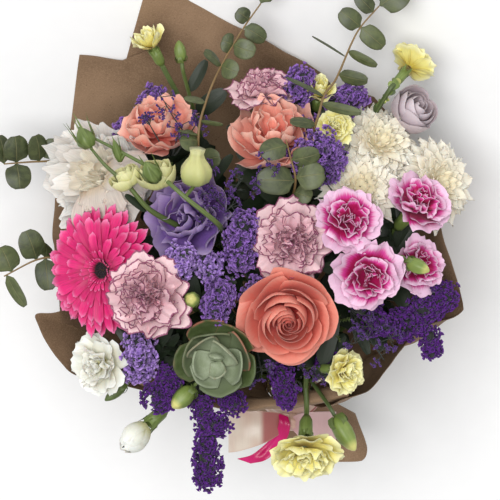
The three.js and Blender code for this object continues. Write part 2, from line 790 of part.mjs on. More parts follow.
// Stems: each names what it carries and, where it carries more than one thing, where it forks.
const stems = [
  { carries: ["gerbera"] },
  { carries: ["peony"] },
  { carries: ["rose"] },
  { carries: ["rosette"] },
  { carries: ["carnation_left", "bud_by_carnation"], fork: vec(-40, -54, -96) },
  { carries: ["carnation_middle"] },
  { carries: ["carnation_top"] },
  { carries: ["spray_carnation_1", "spray_carnation_3"], fork: vec(70, -22, -104) },
  {
    carries: ["spray_carnation_2", "spray_carnation_4", "bud_on_spray"],
    fork: vec(100, -16, -118),
  },
  { carries: ["peach_rose_middle", "peach_rose_left"], fork: vec(-14, 54, -130) },
  { carries: ["lisianthus", "lisianthus_buds"], fork: vec(-22, -14, -110) },
  {
    carries: ["chrysanthemum_middle", "chrysanthemum_top", "chrysanthemum_right"],
    fork: vec(84, 22, -120),
  },
  {
    carries: ["white_carnation", "white_bud", "bud_behind_white", "bud_pointed", "bud_low_left"],
    fork: vec(-44, -98, -128),
  },
  { carries: ["yellow_top_left", "bud_top"], fork: vec(-44, 100, -116) },
  {
    carries: ["yellow_top_right", "yellow_back", "yellow_back_small", "mauve_rose"],
    fork: vec(70, 56, -128),
  },
  {
    carries: ["yellow_front", "bud_low_right", "yellow_front_right"],
    fork: vec(46, -100, -104),
  },
  {
    carries: ["eucalyptus_left_upper", "eucalyptus_left_lower", "eucalyptus_top_left"],
    fork: vec(-58, -4, -140),
  },
  { carries: ["eucalyptus_top_right", "eucalyptus_middle"], fork: vec(38, 26, -120) },
  {
    carries: ["statice_drooping", "statice_lavender", "statice_front"],
    fork: vec(-18, -86, -136),
  },
  { carries: ["statice_middle", "statice_lilac"], fork: vec(0, -20, -110) },
  { carries: ["statice_back_middle", "statice_back_right"], fork: vec(44, 20, -140) },
  { carries: ["statice_left_back", "haze_left"], fork: vec(-40, 40, -130) },
  { carries: ["statice_right"] },
  {
    carries: ["haze_middle", "haze_top", "haze_right", "haze_front"],
    fork: vec(20, -30, -140),
  },
];

// Sprigs of leaves: a stem line, then each leaf's middle, its width and how far it stands forward.
const sprigs = {
  eucalyptus_top_left: {
    line: [
      [-40, 50, -44], [-42, 100, -20], [-36, 125, -28], [-23, 148, -40],
      [-4, 183, -54], [10, 206, -62],
    ],
    leaves: [
      [-50, 91, 15, 4], [-33, 76, 18, 6], [-46, 124, 14, 0], [-30, 158, 13, 4], [-12, 150, 14, 4],
      [-24, 172, 13, 2], [-5, 166, 14, 2], [4, 181, 14, -2], [-6, 196, 12, 2], [14, 218, 15, 0],
    ],
  },
  eucalyptus_top_right: {
    line: [
      [46, 78, -40], [57, 112, -16], [62, 129, -30], [72, 143, -42],
      [85, 173, -52], [93, 187, -56], [108, 204, -62],
    ],
    leaves: [
      [44, 106, 9, 4], [86, 144, 13, 2], [94, 160, 7, 0], [66, 170, 4, 0], [82, 194, 14, 2],
      [102, 178, 15, -2], [96, 206, 12, 2], [120, 212, 26, 0], [46, 136, 5, 6],
    ],
  },
  eucalyptus_left_upper: {
    line: [[-112, 66, -116], [-150, 74, -104], [-178, 74, -92], [-206, 72, -88]],
    leaves: [
      [-165, 84, 18, 2], [-178, 85, 18, 4], [-196, 84, 20, 4], [-194, 62, 20, 2],
      [-208, 84, 16, 0],
    ],
  },
  eucalyptus_left_lower: {
    line: [[-130, -20, -110], [-160, -8, -100], [-178, -8, -96], [-206, -22, -96]],
    leaves: [
      [-183, 4, 20, 4], [-170, -20, 18, 2], [-172, 0, 16, -4], [-196, -34, 12, 2],
      [-204, -8, 20, 0],
    ],
  },
  eucalyptus_middle: {
    line: [[34, 38, -46], [38, 58, -8], [34, 76, -2], [30, 92, 4]],
    leaves: [[50, 62, 20, 2], [22, 58, 22, 2], [46, 78, 16, 2], [22, 84, 14, 2], [44, 46, 14, 2]],
  },
  lisianthus_buds: {
    line: [
      [-24, 14, -60], [-27, 22, -4], [-54, 44, 14], [-80, 66, 4],
      [-108, 82, -6], [-136, 96, -14],
    ],
    leaves: [],
    buds: [
      [-46, 52, 8, -43, 78, 14, 10],
      [-76, 60, 4, -68, 80, 12, 7],
      [-80, 64, 4, -88, 76, 10, 8],
      [-108, 80, -6, -116, 92, -4, 4.5],
      [-128, 90, -12, -140, 102, -12, 4.5],
    ],
  },
};

// Heads of statice: each runs from its foot to its tip and stands on the spray's own branch.
const statice = {
  statice_drooping: {
    colour: colours.deepViolet,
    foot: [-46, -96, -84],
    heads: [
      [-66, -112, -58, -76, -124, -56, 12],
      [-38, -132, -66, -36, -168, -72, 12],
      [-36, -168, -72, -33, -194, -76, 10],
      [-20, -122, -62, -12, -128, -60, 9],
    ],
  },
  statice_lavender: {
    colour: colours.lavender,
    foot: [-78, -78, -78],
    heads: [[-92, -80, -52, -92, -90, -50, 12], [-86, -98, -62, -98, -102, -60, 9]],
  },
  statice_middle: {
    colour: colours.violet,
    foot: [-6, -14, -56],
    heads: [
      [-8, -6, -14, -6, 20, -10, 13],
      [-24, -34, -16, -30, -50, -14, 11],
      [4, -36, -18, 12, -32, -16, 11],
    ],
  },
  statice_lilac: {
    colour: colours.lavender,
    foot: [-50, -14, -62],
    heads: [[-62, -14, -16, -56, -6, -14, 12], [-36, -10, -20, -34, -18, -18, 9]],
  },
  statice_back_middle: {
    colour: colours.violet,
    foot: [44, 40, -78],
    heads: [
      [44, 76, -24, 60, 84, -24, 15],
      [64, 66, -28, 72, 76, -28, 10],
      [52, 92, -40, 50, 104, -40, 9],
    ],
  },
  statice_back_right: {
    colour: colours.violet,
    foot: [50, 96, -96],
    heads: [[36, 132, -56, 44, 142, -56, 12], [72, 122, -58, 88, 128, -62, 11]],
  },
  statice_left_back: {
    colour: colours.violet,
    foot: [-84, 72, -92],
    heads: [[-112, 98, -60, -108, 112, -62, 10], [-100, 118, -62, -92, 132, -64, 9]],
  },
  statice_right: {
    colour: colours.deepViolet,
    foot: [110, -40, -104],
    heads: [
      [146, -46, -72, 160, -40, -74, 14],
      [124, -62, -72, 140, -62, -76, 12],
      [104, -58, -56, 112, -64, -54, 10],
      [150, -72, -86, 152, -84, -90, 8],
    ],
  },
  statice_front: {
    colour: colours.deepViolet,
    foot: [14, -96, -104],
    heads: [
      [27, -104, -62, 30, -124, -64, 9],
      [66, -86, -62, 60, -96, -60, 10],
    ],
  },
};

// Fine branched sprays of small florets.
const haze = {
  haze_left: { foot: [-66, 74, -64], tips: [[-74, 128, -14], [-58, 104, -14], [-40, 112, -28]] },
  haze_middle: { foot: [-30, 24, -66], tips: [[-32, 48, -6], [-40, 66, -8], [-6, 60, -12]] },
  haze_top: { foot: [22, 44, -70], tips: [[14, 74, -8], [60, 70, -8], [4, 52, -8]] },
  haze_right: { foot: [84, -50, -84], tips: [[88, -78, -40], [104, -66, -36], [112, -92, -52]] },
  haze_front: { foot: [4, -74, -92], tips: [[10, -104, -34], [-4, -112, -44], [58, -108, -60]] },
};

const footBall = 2.2; // where the stalks of a spray of statice meet
const floretRadius = 5; // of haze

// Where a spray's own stem starts, and which way it goes.
function sprayFoot(name) {
  const [first, next] = sprigs[name]?.line ?? [
    (statice[name] ?? haze[name]).foot,
    statice[name]?.heads[0] ?? haze[name].tips[0],
  ];
  const foot = vec(...first.slice(0, 3));
  return { foot, axis: vec(...next.slice(0, 3)).sub(foot).normalize() };
}

const stalkRadius = 1.3; // of a head of statice

// Shares of a leaf's width at its root, its middle and its tip.
const leafShares = [0.24, 1, 0.5];

// A sprig's stem, raised until it is clear.
function sprigStem(line, radius) {
  for (const lift of [0, 3, 6, 10, 14, -4, -8]) {
    const points = smooth(line.map(([x, y, z], i) => vec(x, y, z + (i ? lift : 0))), 6);
    const solid = tube(points, radius, 3);
    if (isClear(solid)) return { points, solid };
  }
  throw new Error("no way for the sprig from " + line[0]);
}

// A leaf from the nearest point of its stem, raised or lowered until it is clear.
function leafSolid(root, [x, y, width, forward]) {
  for (const more of [0, 4, 8, 12, -5, -10, 16, -15, 20, -20, 25]) {
    const reach = vec(x, y, root.z + forward + more).sub(root);
    const across = reach.clone().cross(vec(0.15, 0.1, 1)).normalize();
    const arch = reach.clone().cross(across).normalize();
    const at = (u, v) =>
      root
        .clone()
        .addScaledVector(reach, 2 * v)
        .addScaledVector(across, (u * width * leafShares[Math.round(v * 2)]) / 2)
        .addScaledVector(arch, -0.12 * width * (1 - u * u) * Math.sin(Math.PI * v));
    const leaf = solidOf(blade(at, 2, 2));
    if (isClear(leaf)) return leaf;
  }
  throw new Error("no room for the leaf at " + x + ", " + y);
}

function addSprig(name, { line, leaves, buds: sprigBuds = [] }, colour) {
  const stem = sprigStem(line, 1.2);
  const steps = stem.points.slice(1).flatMap((to, i) =>
    [0, 0.25, 0.5, 0.75].map((share) => stem.points[i].clone().lerp(to, share)),
  );
  const along = [...steps, stem.points.at(-1)];
  const nearest = (gap) => along.reduce((best, p) => (gap(p) < gap(best) ? p : best));
  const pieces = [stem.solid];
  for (const leaf of leaves) {
    const root = nearest((p) => Math.hypot(p.x - leaf[0], p.y - leaf[1]));
    pieces.push(leafSolid(root, leaf));
  }
  for (const [x, y, z, tipX, tipY, tipZ, radius] of sprigBuds) {
    const foot = nearest((p) => p.distanceTo(vec(x, y, z)));
    const axis = vec(tipX, tipY, tipZ).sub(foot);
    const length = axis.length() * 1.1;
    const bud = budSolid(foot, axis.normalize(), radius, length, 0.36);
    if (!isClear(bud)) throw new Error("no room for the bud at " + x + ", " + y);
    pieces.push(bud);
  }
  addNode(name, fuse(pieces), colour);
}

// A head of florets on its stalk: along the head the sides stand out by turns, each one a floret.
function headOnStalk(base, middle, from, to, radius) {
  const sides = 4;
  const stalk = [base, middle, from];
  const length = from.distanceTo(to) + radius;
  const steps = Math.max(3, Math.round(length / 9.5));
  const tip = from.clone().lerp(to, length / (length - radius));
  const draw = seededDraw(3 + Math.abs(from.x));
  const spread = Array.from({ length: steps * sides }, () => draw(0.86, 1.1));
  const points = [...stalk];
  for (let i = 1; i <= steps; i++) points.push(from.clone().lerp(tip, (i - 0.5) / steps));
  const radiusAt = (i, j) => {
    const step = i - stalk.length;
    if (step < 0) return stalkRadius;
    const swell = Math.sqrt(Math.max(0.25, 1 - ((2 * step + 1) / steps - 1) ** 2));
    return radius * swell * (j % 2 === step % 2 ? 0.66 : 1.1) * spread[step * sides + j];
  };
  return tube(points, radiusAt, sides, 0.6);
}

// The ball at a spray's foot, with one of its corners toward the stem.
function footSolid(name, radius) {
  const { foot, axis } = sprayFoot(name);
  const turned = new THREE.Quaternion().setFromUnitVectors(vec(0, 0, 1), axis);
  const matrix = new THREE.Matrix4().compose(foot, turned, vec(1, 1, 1));
  return moved(solidOf(new THREE.OctahedronGeometry(radius, 0)), matrix);
}

// A head of statice, made smaller, lower or with its stalk bent aside until it is clear.
function clearHead(base, [ax, ay, az, bx, by, bz, radius]) {
  for (const size of [1, 0.85, 0.7, 0.55]) {
    for (const drop of [0, -6, -12, 6, -18, 12]) {
      const from = vec(ax, ay, az + drop);
      const to = vec(bx, by, bz + drop);
      for (const side of [0, 10, -10, 20, -20]) {
        const middle = base.clone().lerp(from, 0.5).add(vec(side, side * 0.5, -6));
        const head = headOnStalk(base, middle, from, to, radius * size);
        if (isClear(head)) return head;
      }
    }
  }
  throw new Error("no room for the head at " + ax + ", " + ay);
}

function addStatice(name, { colour, foot, heads }) {
  const base = vec(...foot);
  const ball = footSolid(name, footBall);
  addNode(name, fuse([ball, ...heads.map((head) => clearHead(base, head))]), colour);
}

// A fine branch of haze with one floret on its way and one at its tip. Each row gives the share of
// the way from the branch's middle to its tip, and the radius there.
const hazeFlorets = [
  [0, 1],
  [0.22, 1],
  [0.36, floretRadius],
  [0.5, 1],
  [0.86, 1],
  [1, floretRadius],
];

function hazeBranch(base, tip) {
  const radii = [1, ...hazeFlorets.map((row) => row[1])];
  for (const raised of [0, 5, -6, 10, -12]) {
    const end = tip.clone().add(vec(0, 0, raised));
    for (const side of [0, 8, -8, 16, -16, 24, -24]) {
      const middle = base.clone().lerp(end, 0.55).add(vec(side, -side * 0.6, 4));
      const points = [base, ...hazeFlorets.map((row) => middle.clone().lerp(end, row[0]))];
      const solid = tube(points, radii, 3, 0.4);
      if (isClear(solid)) return { solid, middle };
    }
  }
  throw new Error("no way for the branch to " + tip.toArray());
}

// The first branch runs from the foot, and the others leave it one after another.
function addHaze(name, { foot, tips }) {
  const first = hazeBranch(vec(...foot), vec(...tips[0]));
  const others = tips.slice(1).map((tip, k) => {
    const start = vec(...foot).lerp(first.middle, 0.3 * (k + 1));
    return hazeBranch(start, vec(...tip)).solid;
  });
  addNode(name, fuse([first.solid, ...others]), colours.haze);
}

// Places in the bundle: one in the middle, then rings of six, twelve and eighteen round it.
function bundlePlaces(count) {
  const found = [[0, 0]];
  for (let ring = 1; found.length < count; ring++) {
    const places = [];
    for (let i = 0; i < 6 * ring; i++) {
      const side = Math.floor(i / ring);
      const along = i % ring;
      const from = (side * Math.PI) / 3;
      const to = from + (2 * Math.PI) / 3;
      places.push([
        (Math.cos(from) * ring + Math.cos(to) * along) * stemSpacing,
        (Math.sin(from) * ring + Math.sin(to) * along) * stemSpacing,
      ]);
    }
    const wanted = Math.min(places.length, count - found.length);
    for (let i = 0; i < wanted; i++) found.push(places[Math.floor((i * places.length) / wanted)]);
  }
  return found;
}

const atTie = ([x, y], along, splay = 1, twist = 0) => {
  const angle = Math.atan2(x, y) + twist;
  return roundTie(angle, Math.hypot(x, y) * splay, along);
};

// Gives each stem the place in its ring of the bundle that best suits the way it leaves.
function bundleOrder(goals) {
  const places = bundlePlaces(goals.length);
  const spread = (p) => {
    const from = p.clone().sub(tie);
    return from.clone().addScaledVector(stemLine, -from.dot(stemLine)).length();
  };
  const order = goals.map((goal, i) => ({ i, goal })).sort((a, b) => spread(a.goal) - spread(b.goal));
  const chosen = [];
  for (let ring = 0, first = 0; first < order.length; ring++) {
    const count = Math.min(ring ? 6 * ring : 1, order.length - first);
    const members = order.slice(first, first + count);
    const free = places.slice(first, first + count);
    members.sort((a, b) => angleRoundTie(a.goal) - angleRoundTie(b.goal));
    free.sort((a, b) => Math.atan2(...a) - Math.atan2(...b));
    members.forEach(({ i }, k) => (chosen[i] = free[k]));
    first += count;
  }
  return chosen;
}

// Finds a clear way for a stem by moving its middle aside.
function clearTube(points, radius, sides, bent) {
  for (const reach of [0, 6, 12, 18, 26]) {
    for (let k = 0; k < (reach ? 8 : 1); k++) {
      const angle = (k * Math.PI) / 4;
      const shift = vec(reach * Math.cos(angle), reach * Math.sin(angle), 0);
      const route = points.map((p, i) => (i === bent ? p.clone().add(shift) : p));
      const solid = tube(route, radius, sides);
      if (isClear(solid)) return solid;
    }
  }
  return null;
}

// How far a spray's own stem or foot reaches back from its first point, and its stem's end with it.
const footReach = { eucalyptus: 0.75, lisianthus: 0.75, statice: 2.7, haze: 0.75 };

function carried(name) {
  if (blooms[name]) {
    const bloom = blooms[name];
    const { foot, axis } = bloomFoot(bloom);
    return { foot, axis, cup: cups[bloom.form]?.map((share) => share * bloom.size) };
  }
  if (buds[name]) {
    const bud = buds[name];
    return { foot: bud.at, axis: bud.point.clone().normalize(), bud };
  }
  const { foot, axis } = sprayFoot(name);
  const gap = clearance + footReach[name.split("_")[0]];
  return { foot: foot.clone().addScaledVector(axis, -gap), axis, inset: 0 };
}

// The cup under a bloom, with its top at a point.
function cupSolid(top, axis, [radius, length]) {
  const profile = [
    [0, 0],
    [radius, length * 0.3],
    [radius * 0.86, length],
    [0, length],
  ];
  return turnedAlong(profile, 5, top.clone().addScaledVector(axis, -length), axis);
}

// What holds one thing that a stem carries: its cup or its bud, and the point where the stem ends.
function holderOf({ foot, axis, cup, bud, inset = 0.35 }) {
  if (cup) {
    const seat = foot.clone().addScaledVector(axis, -cup[1] * 0.8);
    return { solid: cupSolid(foot, axis, cup), seat, straight: 14 };
  }
  if (bud) {
    const seat = foot.clone().addScaledVector(axis, 1.5);
    return { solid: budSolid(foot, axis, bud.radius, bud.length), seat, straight: 9 };
  }
  return { solid: null, seat: foot.clone().addScaledVector(axis, -inset), straight: 9 };
}

function addStems() {
  const ends = stems.map(({ carries, fork }) => fork ?? carried(carries[0]).foot);
  const places = bundleOrder(ends);
  const pressed = [
    [0, -pressedLength],
    [pressedRadius, -pressedLength],
    [pressedRadius, pressedLength],
    [0, pressedLength],
  ];
  const pieces = [ringRoundTie(pressed, 10)];
  stems.forEach(({ carries, fork }, i) => {
    const foot = [
      atTie(places[i], -handleLength, handleSplay, handleTwist),
      atTie(places[i], -pinchLength, pinchSplay, pinchTwist),
      atTie(places[i], 0),
    ];
    const mouth = atTie(places[i], pinchLength, pinchSplay, -pinchTwist);
    carries.forEach((name, k) => {
      const thing = carried(name);
      const { solid: holder, seat, straight } = holderOf(thing);
      if (holder && !isClear(holder)) throw new Error("no room for what holds " + name);
      if (holder) pieces.push(holder);
      const below = seat.clone().addScaledVector(thing.axis, -straight);
      const joint = fork ?? mouth.clone().lerp(below, 0.4);
      const back = joint.clone().sub(mouth).normalize();
      const from = joint.clone().addScaledVector(back, -branchStep * k);
      const branch = [from, from.clone().lerp(below, 0.5), below, seat];
      const line = k ? branch : [...foot, mouth, ...branch];
      const stem = clearTube(line, k ? branchRadius : stemRadii, 3, line.length - 3);
      if (!stem) throw new Error("no way for the stem of " + name);
      pieces.push(stem);
    });
  });
  addNode("stems", fuse(pieces), colours.stem);
}

// Turns of twine round the stems, inside the paper.
const twineRadius = 1.2;
const twineInside = 16.4;
const twineTurns = 2;
const twineSides = 12;

function ringRoundTie(profile, segments) {
  const outline = profile.map(([r, z]) => new THREE.Vector2(r, z));
  const geometry = new THREE.LatheGeometry(outline, segments).rotateX(Math.PI / 2);
  geometry.deleteAttribute("normal");
  geometry.deleteAttribute("uv");
  const turned = new THREE.Quaternion().setFromUnitVectors(vec(0, 0, 1), stemLine);
  const matrix = new THREE.Matrix4().compose(tie, turned, vec(1, 1, 1));
  return moved(solidOf(mergeVertices(geometry, 1e-4)), matrix);
}

function addTwine() {
  const outer = twineInside + 2 * twineRadius;
  const half = twineTurns * twineRadius;
  const profile = [[twineInside, -half]];
  for (let i = 0; i < twineTurns; i++) {
    const low = -half + 2 * i * twineRadius;
    profile.push([outer, low + 0.5 * twineRadius], [outer, low + 1.5 * twineRadius]);
    if (i < twineTurns - 1) profile.push([twineInside + twineRadius, low + 2 * twineRadius]);
  }
  profile.push([twineInside, half], [twineInside, -half]);
  addNode("twine", ringRoundTie(profile, twineSides), colours.twine);
}

// The satin ribbon: a band round the paper's neck, and away from the table a knot with two loops.
// A narrow strip of another ribbon trails from the knot.
const band = { low: -15, high: -1, lowRadius: 26.9, highRadius: 23.9, sides: 16 };
const knot = { out: 33, along: -8, radius: 8.5 };
const acrossLoops = vec(0, -0.98, -0.17).normalize();
const acrossStrip = vec(-1, 0.35, 0).normalize();

// Each point of a ribbon's path, and half its width there.
const leftLoop = [
  [33, -146, -229, 6],
  [14, -151, -221, 12],
  [-6, -154, -222, 15],
  [-17, -155, -230, 16],
  [-16, -154, -236, 16],
  [-4, -153, -240, 15],
  [14, -151, -238, 12],
  [33, -146, -234, 6],
];
const rightLoop = [
  [36, -146, -229, 6],
  [46, -149, -223, 12],
  [60, -151, -224, 15],
  [71, -152, -229, 16],
  [71, -152, -234, 16],
  [60, -151, -238, 15],
  [46, -149, -238, 12],
  [36, -146, -234, 6],
];
const pinkStrip = [
  [28, -139, -223.6, 3.4],
  [25, -147, -222, 4],
  [21, -157, -220, 4.2],
  [13, -168, -224, 4.4],
  [3, -176, -231, 4.4],
  [-8, -181, -238, 4.4],
];

function strip(path, across) {
  const spines = path.map(([x, y, z, half]) => [
    vec(x, y, z).addScaledVector(across, half),
    vec(x, y, z).addScaledVector(across, -half),
  ]);
  return solidOf(sheet(spines, ribbonThickness));
}

function addRibbons() {
  const { low, high, lowRadius, highRadius, sides } = band;
  const profile = [
    [lowRadius, low],
    [lowRadius + ribbonThickness, low],
    [highRadius + ribbonThickness, high],
    [highRadius, high],
    [lowRadius, low],
  ];
  const centre = roundTie(Math.PI, knot.out, knot.along);
  const ball = new THREE.IcosahedronGeometry(knot.radius, 0).translate(centre.x, centre.y, centre.z);
  const pieces = [
    ringRoundTie(profile, sides),
    solidOf(ball),
    strip(leftLoop, acrossLoops),
    strip(rightLoop, acrossLoops),
  ];
  addNode("ribbon", fuse(pieces), colours.satin, { roughness: 0.35 });
  addNode("ribbon_hot_pink", strip(pinkStrip, acrossStrip), colours.hotPink, { roughness: 0.35 });
}

addWrap();
for (const [name, bloom] of Object.entries(blooms)) addBloom(name, bloom);
addGerberaDisc();
addTwine();
addRibbons();
addStems();
for (const [name, sprig] of Object.entries(sprigs)) {
  addSprig(name, sprig, name.startsWith("eucalyptus") ? colours.leaf : colours.bud);
}
for (const [name, spray] of Object.entries(statice)) addStatice(name, spray);
for (const [name, spray] of Object.entries(haze)) addHaze(name, spray);

// Lays the face frame down on the table.
const layDown = new THREE.Group();
const basis = new THREE.Matrix4().makeBasis(
  vec(-1, 0, 0),
  vec(0, -Math.sin(lookDown), -Math.cos(lookDown)),
  vec(0, -Math.cos(lookDown), Math.sin(lookDown)),
);
layDown.quaternion.setFromRotationMatrix(basis);
layDown.position.copy(tableOffset).setZ(faceHeight);
layDown.add(bouquet);

export default layDown;
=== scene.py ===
"""A hand-tied bouquet of mixed flowers in kraft paper, dressed for its render.

Sizes are in millimetres in the face frame, as in the part's source: x to the right, y up and z
toward someone who looks into the flowers. The last step of each piece lays it down on the table, in
metres.
"""

import math
import random

import bmesh
import bpy
from mathutils import Matrix, Vector, noise


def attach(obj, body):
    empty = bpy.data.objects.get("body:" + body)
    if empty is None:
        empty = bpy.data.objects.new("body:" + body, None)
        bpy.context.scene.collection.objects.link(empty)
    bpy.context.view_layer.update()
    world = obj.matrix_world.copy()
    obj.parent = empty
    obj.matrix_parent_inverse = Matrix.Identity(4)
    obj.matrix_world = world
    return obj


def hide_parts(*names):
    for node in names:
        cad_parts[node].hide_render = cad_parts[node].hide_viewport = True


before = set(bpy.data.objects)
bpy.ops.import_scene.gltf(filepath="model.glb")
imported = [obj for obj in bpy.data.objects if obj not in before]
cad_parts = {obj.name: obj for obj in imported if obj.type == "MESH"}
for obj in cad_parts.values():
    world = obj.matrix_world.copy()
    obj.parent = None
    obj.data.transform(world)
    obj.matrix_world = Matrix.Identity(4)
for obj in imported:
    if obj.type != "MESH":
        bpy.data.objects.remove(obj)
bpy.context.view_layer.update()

# Driving dimensions
LOOK_DOWN = math.radians(53)  # from the level to the photograph's line of sight
FACE_HEIGHT = 202  # of the middle of the face above the table
TABLE_SHIFT = (-15.6, -105.8)  # where the middle of the face lies over the table
DOME_RADIUS = 230  # of the dome that the heads stand on
TIE = Vector((33, -112, -240))
STEM_LINE = Vector((-0.1025, 0.445, 0.8897)).normalized()
HANDLE_LENGTH = 129  # from the tie to the cut ends
STEM_RADIUS = 3
TIED_RADIUS = 2.2
BRANCH_RADIUS = 1.7
BRANCH_STEP = 11  # along a stem, from one branch to the next
STEM_SPACING = 4.2  # in the tie
HANDLE_SPLAY = 1.9  # how much wider the bundle is at its cut ends than in the tie
HANDLE_TWIST = math.radians(35)
PINCH_LENGTH = 28  # from the tie to where the bundle has widened by the next value
PINCH_SPLAY = 1.4
PINCH_TWIST = 0.1
PAPER_NECK = 22.6  # the paper's radius round the tie
LAYER_STEP = 2.05  # from one layer of paper to the next
TAIL_LENGTH = 52
TAIL_RADIUS = 33
HELD_ALONG = -17  # where the ribbon holds in a panel whose tail is wider
HELD_RADIUS = 25.6
PAPER_THICKNESS = 0.5
PETAL_THICKNESS = 0.35
LEAF_THICKNESS = 0.5
FLESHY_THICKNESS = 1.6
CLEARANCE = 0.35
SEAM = 0.001  # points nearer each other than this are one

# Camera and light
PHOTO_WIDTH = 500  # pixels
PIXELS_PER_MM = 1.2
CAMERA_DISTANCE = 20.0  # metres
SENSOR_WIDTH = 36.0
FLOOR_REACH = 12  # metres
SKY_LIGHT = 0.5
WINDOW_LIGHT = 2.6
WINDOW_SPREAD = math.radians(35)
WINDOW_AT = (-0.6, 0.1, 3.9)  # metres, from the middle of the face

TAU = 2 * math.pi
COS = math.cos(LOOK_DOWN)
SIN = math.sin(LOOK_DOWN)
MM = 0.001
FACE_TO_TABLE = Matrix(
    (
        (-1, 0, 0, TABLE_SHIFT[0]),
        (0, -SIN, -COS, TABLE_SHIFT[1]),
        (0, -COS, SIN, FACE_HEIGHT),
        (0, 0, 0, 1),
    )
)
TO_METRES = Matrix.Scale(MM, 4) @ FACE_TO_TABLE

TOWARD_TABLE = Vector((0, COS, -SIN))
TOWARD_TABLE = (TOWARD_TABLE - STEM_LINE * TOWARD_TABLE.dot(STEM_LINE)).normalized()
TO_RIGHT = TOWARD_TABLE.cross(STEM_LINE).normalized()


def dome_at(x, y):
    return math.sqrt(DOME_RADIUS**2 - x * x - y * y) - DOME_RADIUS


def table_at(y):
    return (COS * y - FACE_HEIGHT) / SIN


def round_tie(angle, radius, along):
    out = TOWARD_TABLE * math.cos(angle) + TO_RIGHT * math.sin(angle)
    return TIE + out * radius + STEM_LINE * along


def angle_round_tie(point):
    out = point - TIE
    return math.atan2(out.dot(TO_RIGHT), out.dot(TOWARD_TABLE))


def facing(axis, at=(0, 0, 0), spin=0.0):
    """The matrix that takes +Z to an axis, turned about it, with its origin at a point."""
    turned = Vector((0, 0, 1)).rotation_difference(Vector(axis).normalized())
    return Matrix.Translation(at) @ turned.to_matrix().to_4x4() @ Matrix.Rotation(spin, 4, "Z")


def linear(colour):
    """An sRGB colour, its channels from 0 to 255, as the shaders take it."""
    shares = [c / 255 for c in colour]
    return [c / 12.92 if c <= 0.04045 else ((c + 0.055) / 1.055) ** 2.4 for c in shares] + [1]


# Mesh


def new_mesh():
    bm = bmesh.new()
    bm.loops.layers.uv.new("UVMap")
    bm.verts.layers.float.new("tone")
    bm.verts.layers.float.new("inner")
    return bm


def bent_grid(bm, columns, rows, place, tone=0.5, inner=0.5):
    """Adds a grid, each of its points set where place(u, v) says, with u and v from 0 to 1."""
    made = bmesh.ops.create_grid(bm, x_segments=columns, y_segments=rows, size=0.5, calc_uvs=True)
    tones = bm.verts.layers.float["tone"]
    inners = bm.verts.layers.float["inner"]
    for vert in made["verts"]:
        vert[tones] = tone
        vert[inners] = inner
        vert.co = place(vert.co.x + 0.5, vert.co.y + 0.5)


def finish_piece(name, bm, material, nodes, thickness=0, sewn=False):
    """Lays a mesh down on the table as a piece of the object. A sewn one has its seams merged."""
    if sewn:
        bmesh.ops.remove_doubles(bm, verts=bm.verts, dist=SEAM)
    bmesh.ops.transform(bm, matrix=TO_METRES, verts=bm.verts)
    for face in bm.faces:
        face.smooth = True
    mesh = bpy.data.meshes.new(name)
    bm.to_mesh(mesh)
    bm.free()
    piece = bpy.data.objects.new(name, mesh)
    bpy.context.scene.collection.objects.link(piece)
    mesh.materials.append(material)
    if thickness:
        wall = piece.modifiers.new("Thickness", "SOLIDIFY")
        wall.thickness = thickness * MM
        wall.offset = 0
        piece.modifiers.new("Crisp rims", "WEIGHTED_NORMAL")
    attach(piece, "root")
    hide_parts(*nodes)
    return piece


def add_mesh(bm, part):
    """Moves the mesh of a part that was made on its own into a larger one."""
    held = bpy.data.meshes.new("part")
    part.to_mesh(held)
    part.free()
    bm.from_mesh(held)
    bpy.data.meshes.remove(held)


def on_curve(points, share):
    """The point at a share of a smooth line through points."""
    last = len(points) - 1
    place = min(max(share, 0), 1) * last
    i = min(int(place), last - 1)
    t = place - i
    a, b, c, d = (points[min(max(i + k, 0), last)] for k in (-1, 0, 1, 2))
    if i == 0:
        a = b * 2 - c
    if i == last - 1:
        d = c * 2 - b
    return 0.5 * (
        b * 2 + (c - a) * t + (a * 2 - b * 5 + c * 4 - d) * t * t + (b * 3 - a - c * 3 + d) * t**3
    )


def along_curve(points, steps):
    """Points at even steps of the smooth curve through the given ones."""
    return [on_curve(points, i / steps) for i in range(steps + 1)]


def tapered(foot, tip):
    """How thick a stem is at each share of its way, from its foot to its tip."""
    return lambda share: foot + (tip - foot) * share


def any_way(draw, reach=1.0):
    """A random vector, each of its parts from minus its reach to its reach."""
    return Vector([draw.uniform(-reach, reach) for _ in range(3)])


def add_tube(bm, points, radius_at, sides, steps, tone=0.5, inner=0.5):
    """A round stem along a smooth line, its ends closed. radius_at gives its radius at a share of
    the way."""
    line = along_curve(points, steps)
    across = Vector((0.3, 1, 0.2))
    rings = []
    for i, point in enumerate(line):
        tangent = (line[min(i + 1, steps)] - line[max(i - 1, 0)]).normalized()
        across = (across - tangent * across.dot(tangent)).normalized()
        rings.append((point, tangent, across, tangent.cross(across)))

    def place(u, v):
        row = round(v * (steps + 2))
        i = min(max(row - 1, 0), steps)
        point, tangent, out, beside = rings[i]
        radius = radius_at(i / steps)
        if row == 0:
            return point - tangent * radius * 0.2
        if row == steps + 2:
            return point + tangent * radius * 0.2
        return point + (out * math.cos(TAU * u) + beside * math.sin(TAU * u)) * radius

    bent_grid(bm, sides, steps + 2, place, tone, inner)


def add_lathe(bm, matrix, profile, sides, tone=0.5, inner=0.5, ribs=0, rib=0.0):
    """A turned shape: profile rows are radius and height from its foot to its top."""
    rows = len(profile) - 1

    def place(u, v):
        radius, height = profile[round(v * rows)]
        radius *= 1 + rib * math.cos(ribs * TAU * u)
        return matrix @ Vector((radius * math.cos(TAU * u), radius * math.sin(TAU * u), height))

    bent_grid(bm, sides, rows, place, tone, inner)


# Shaders


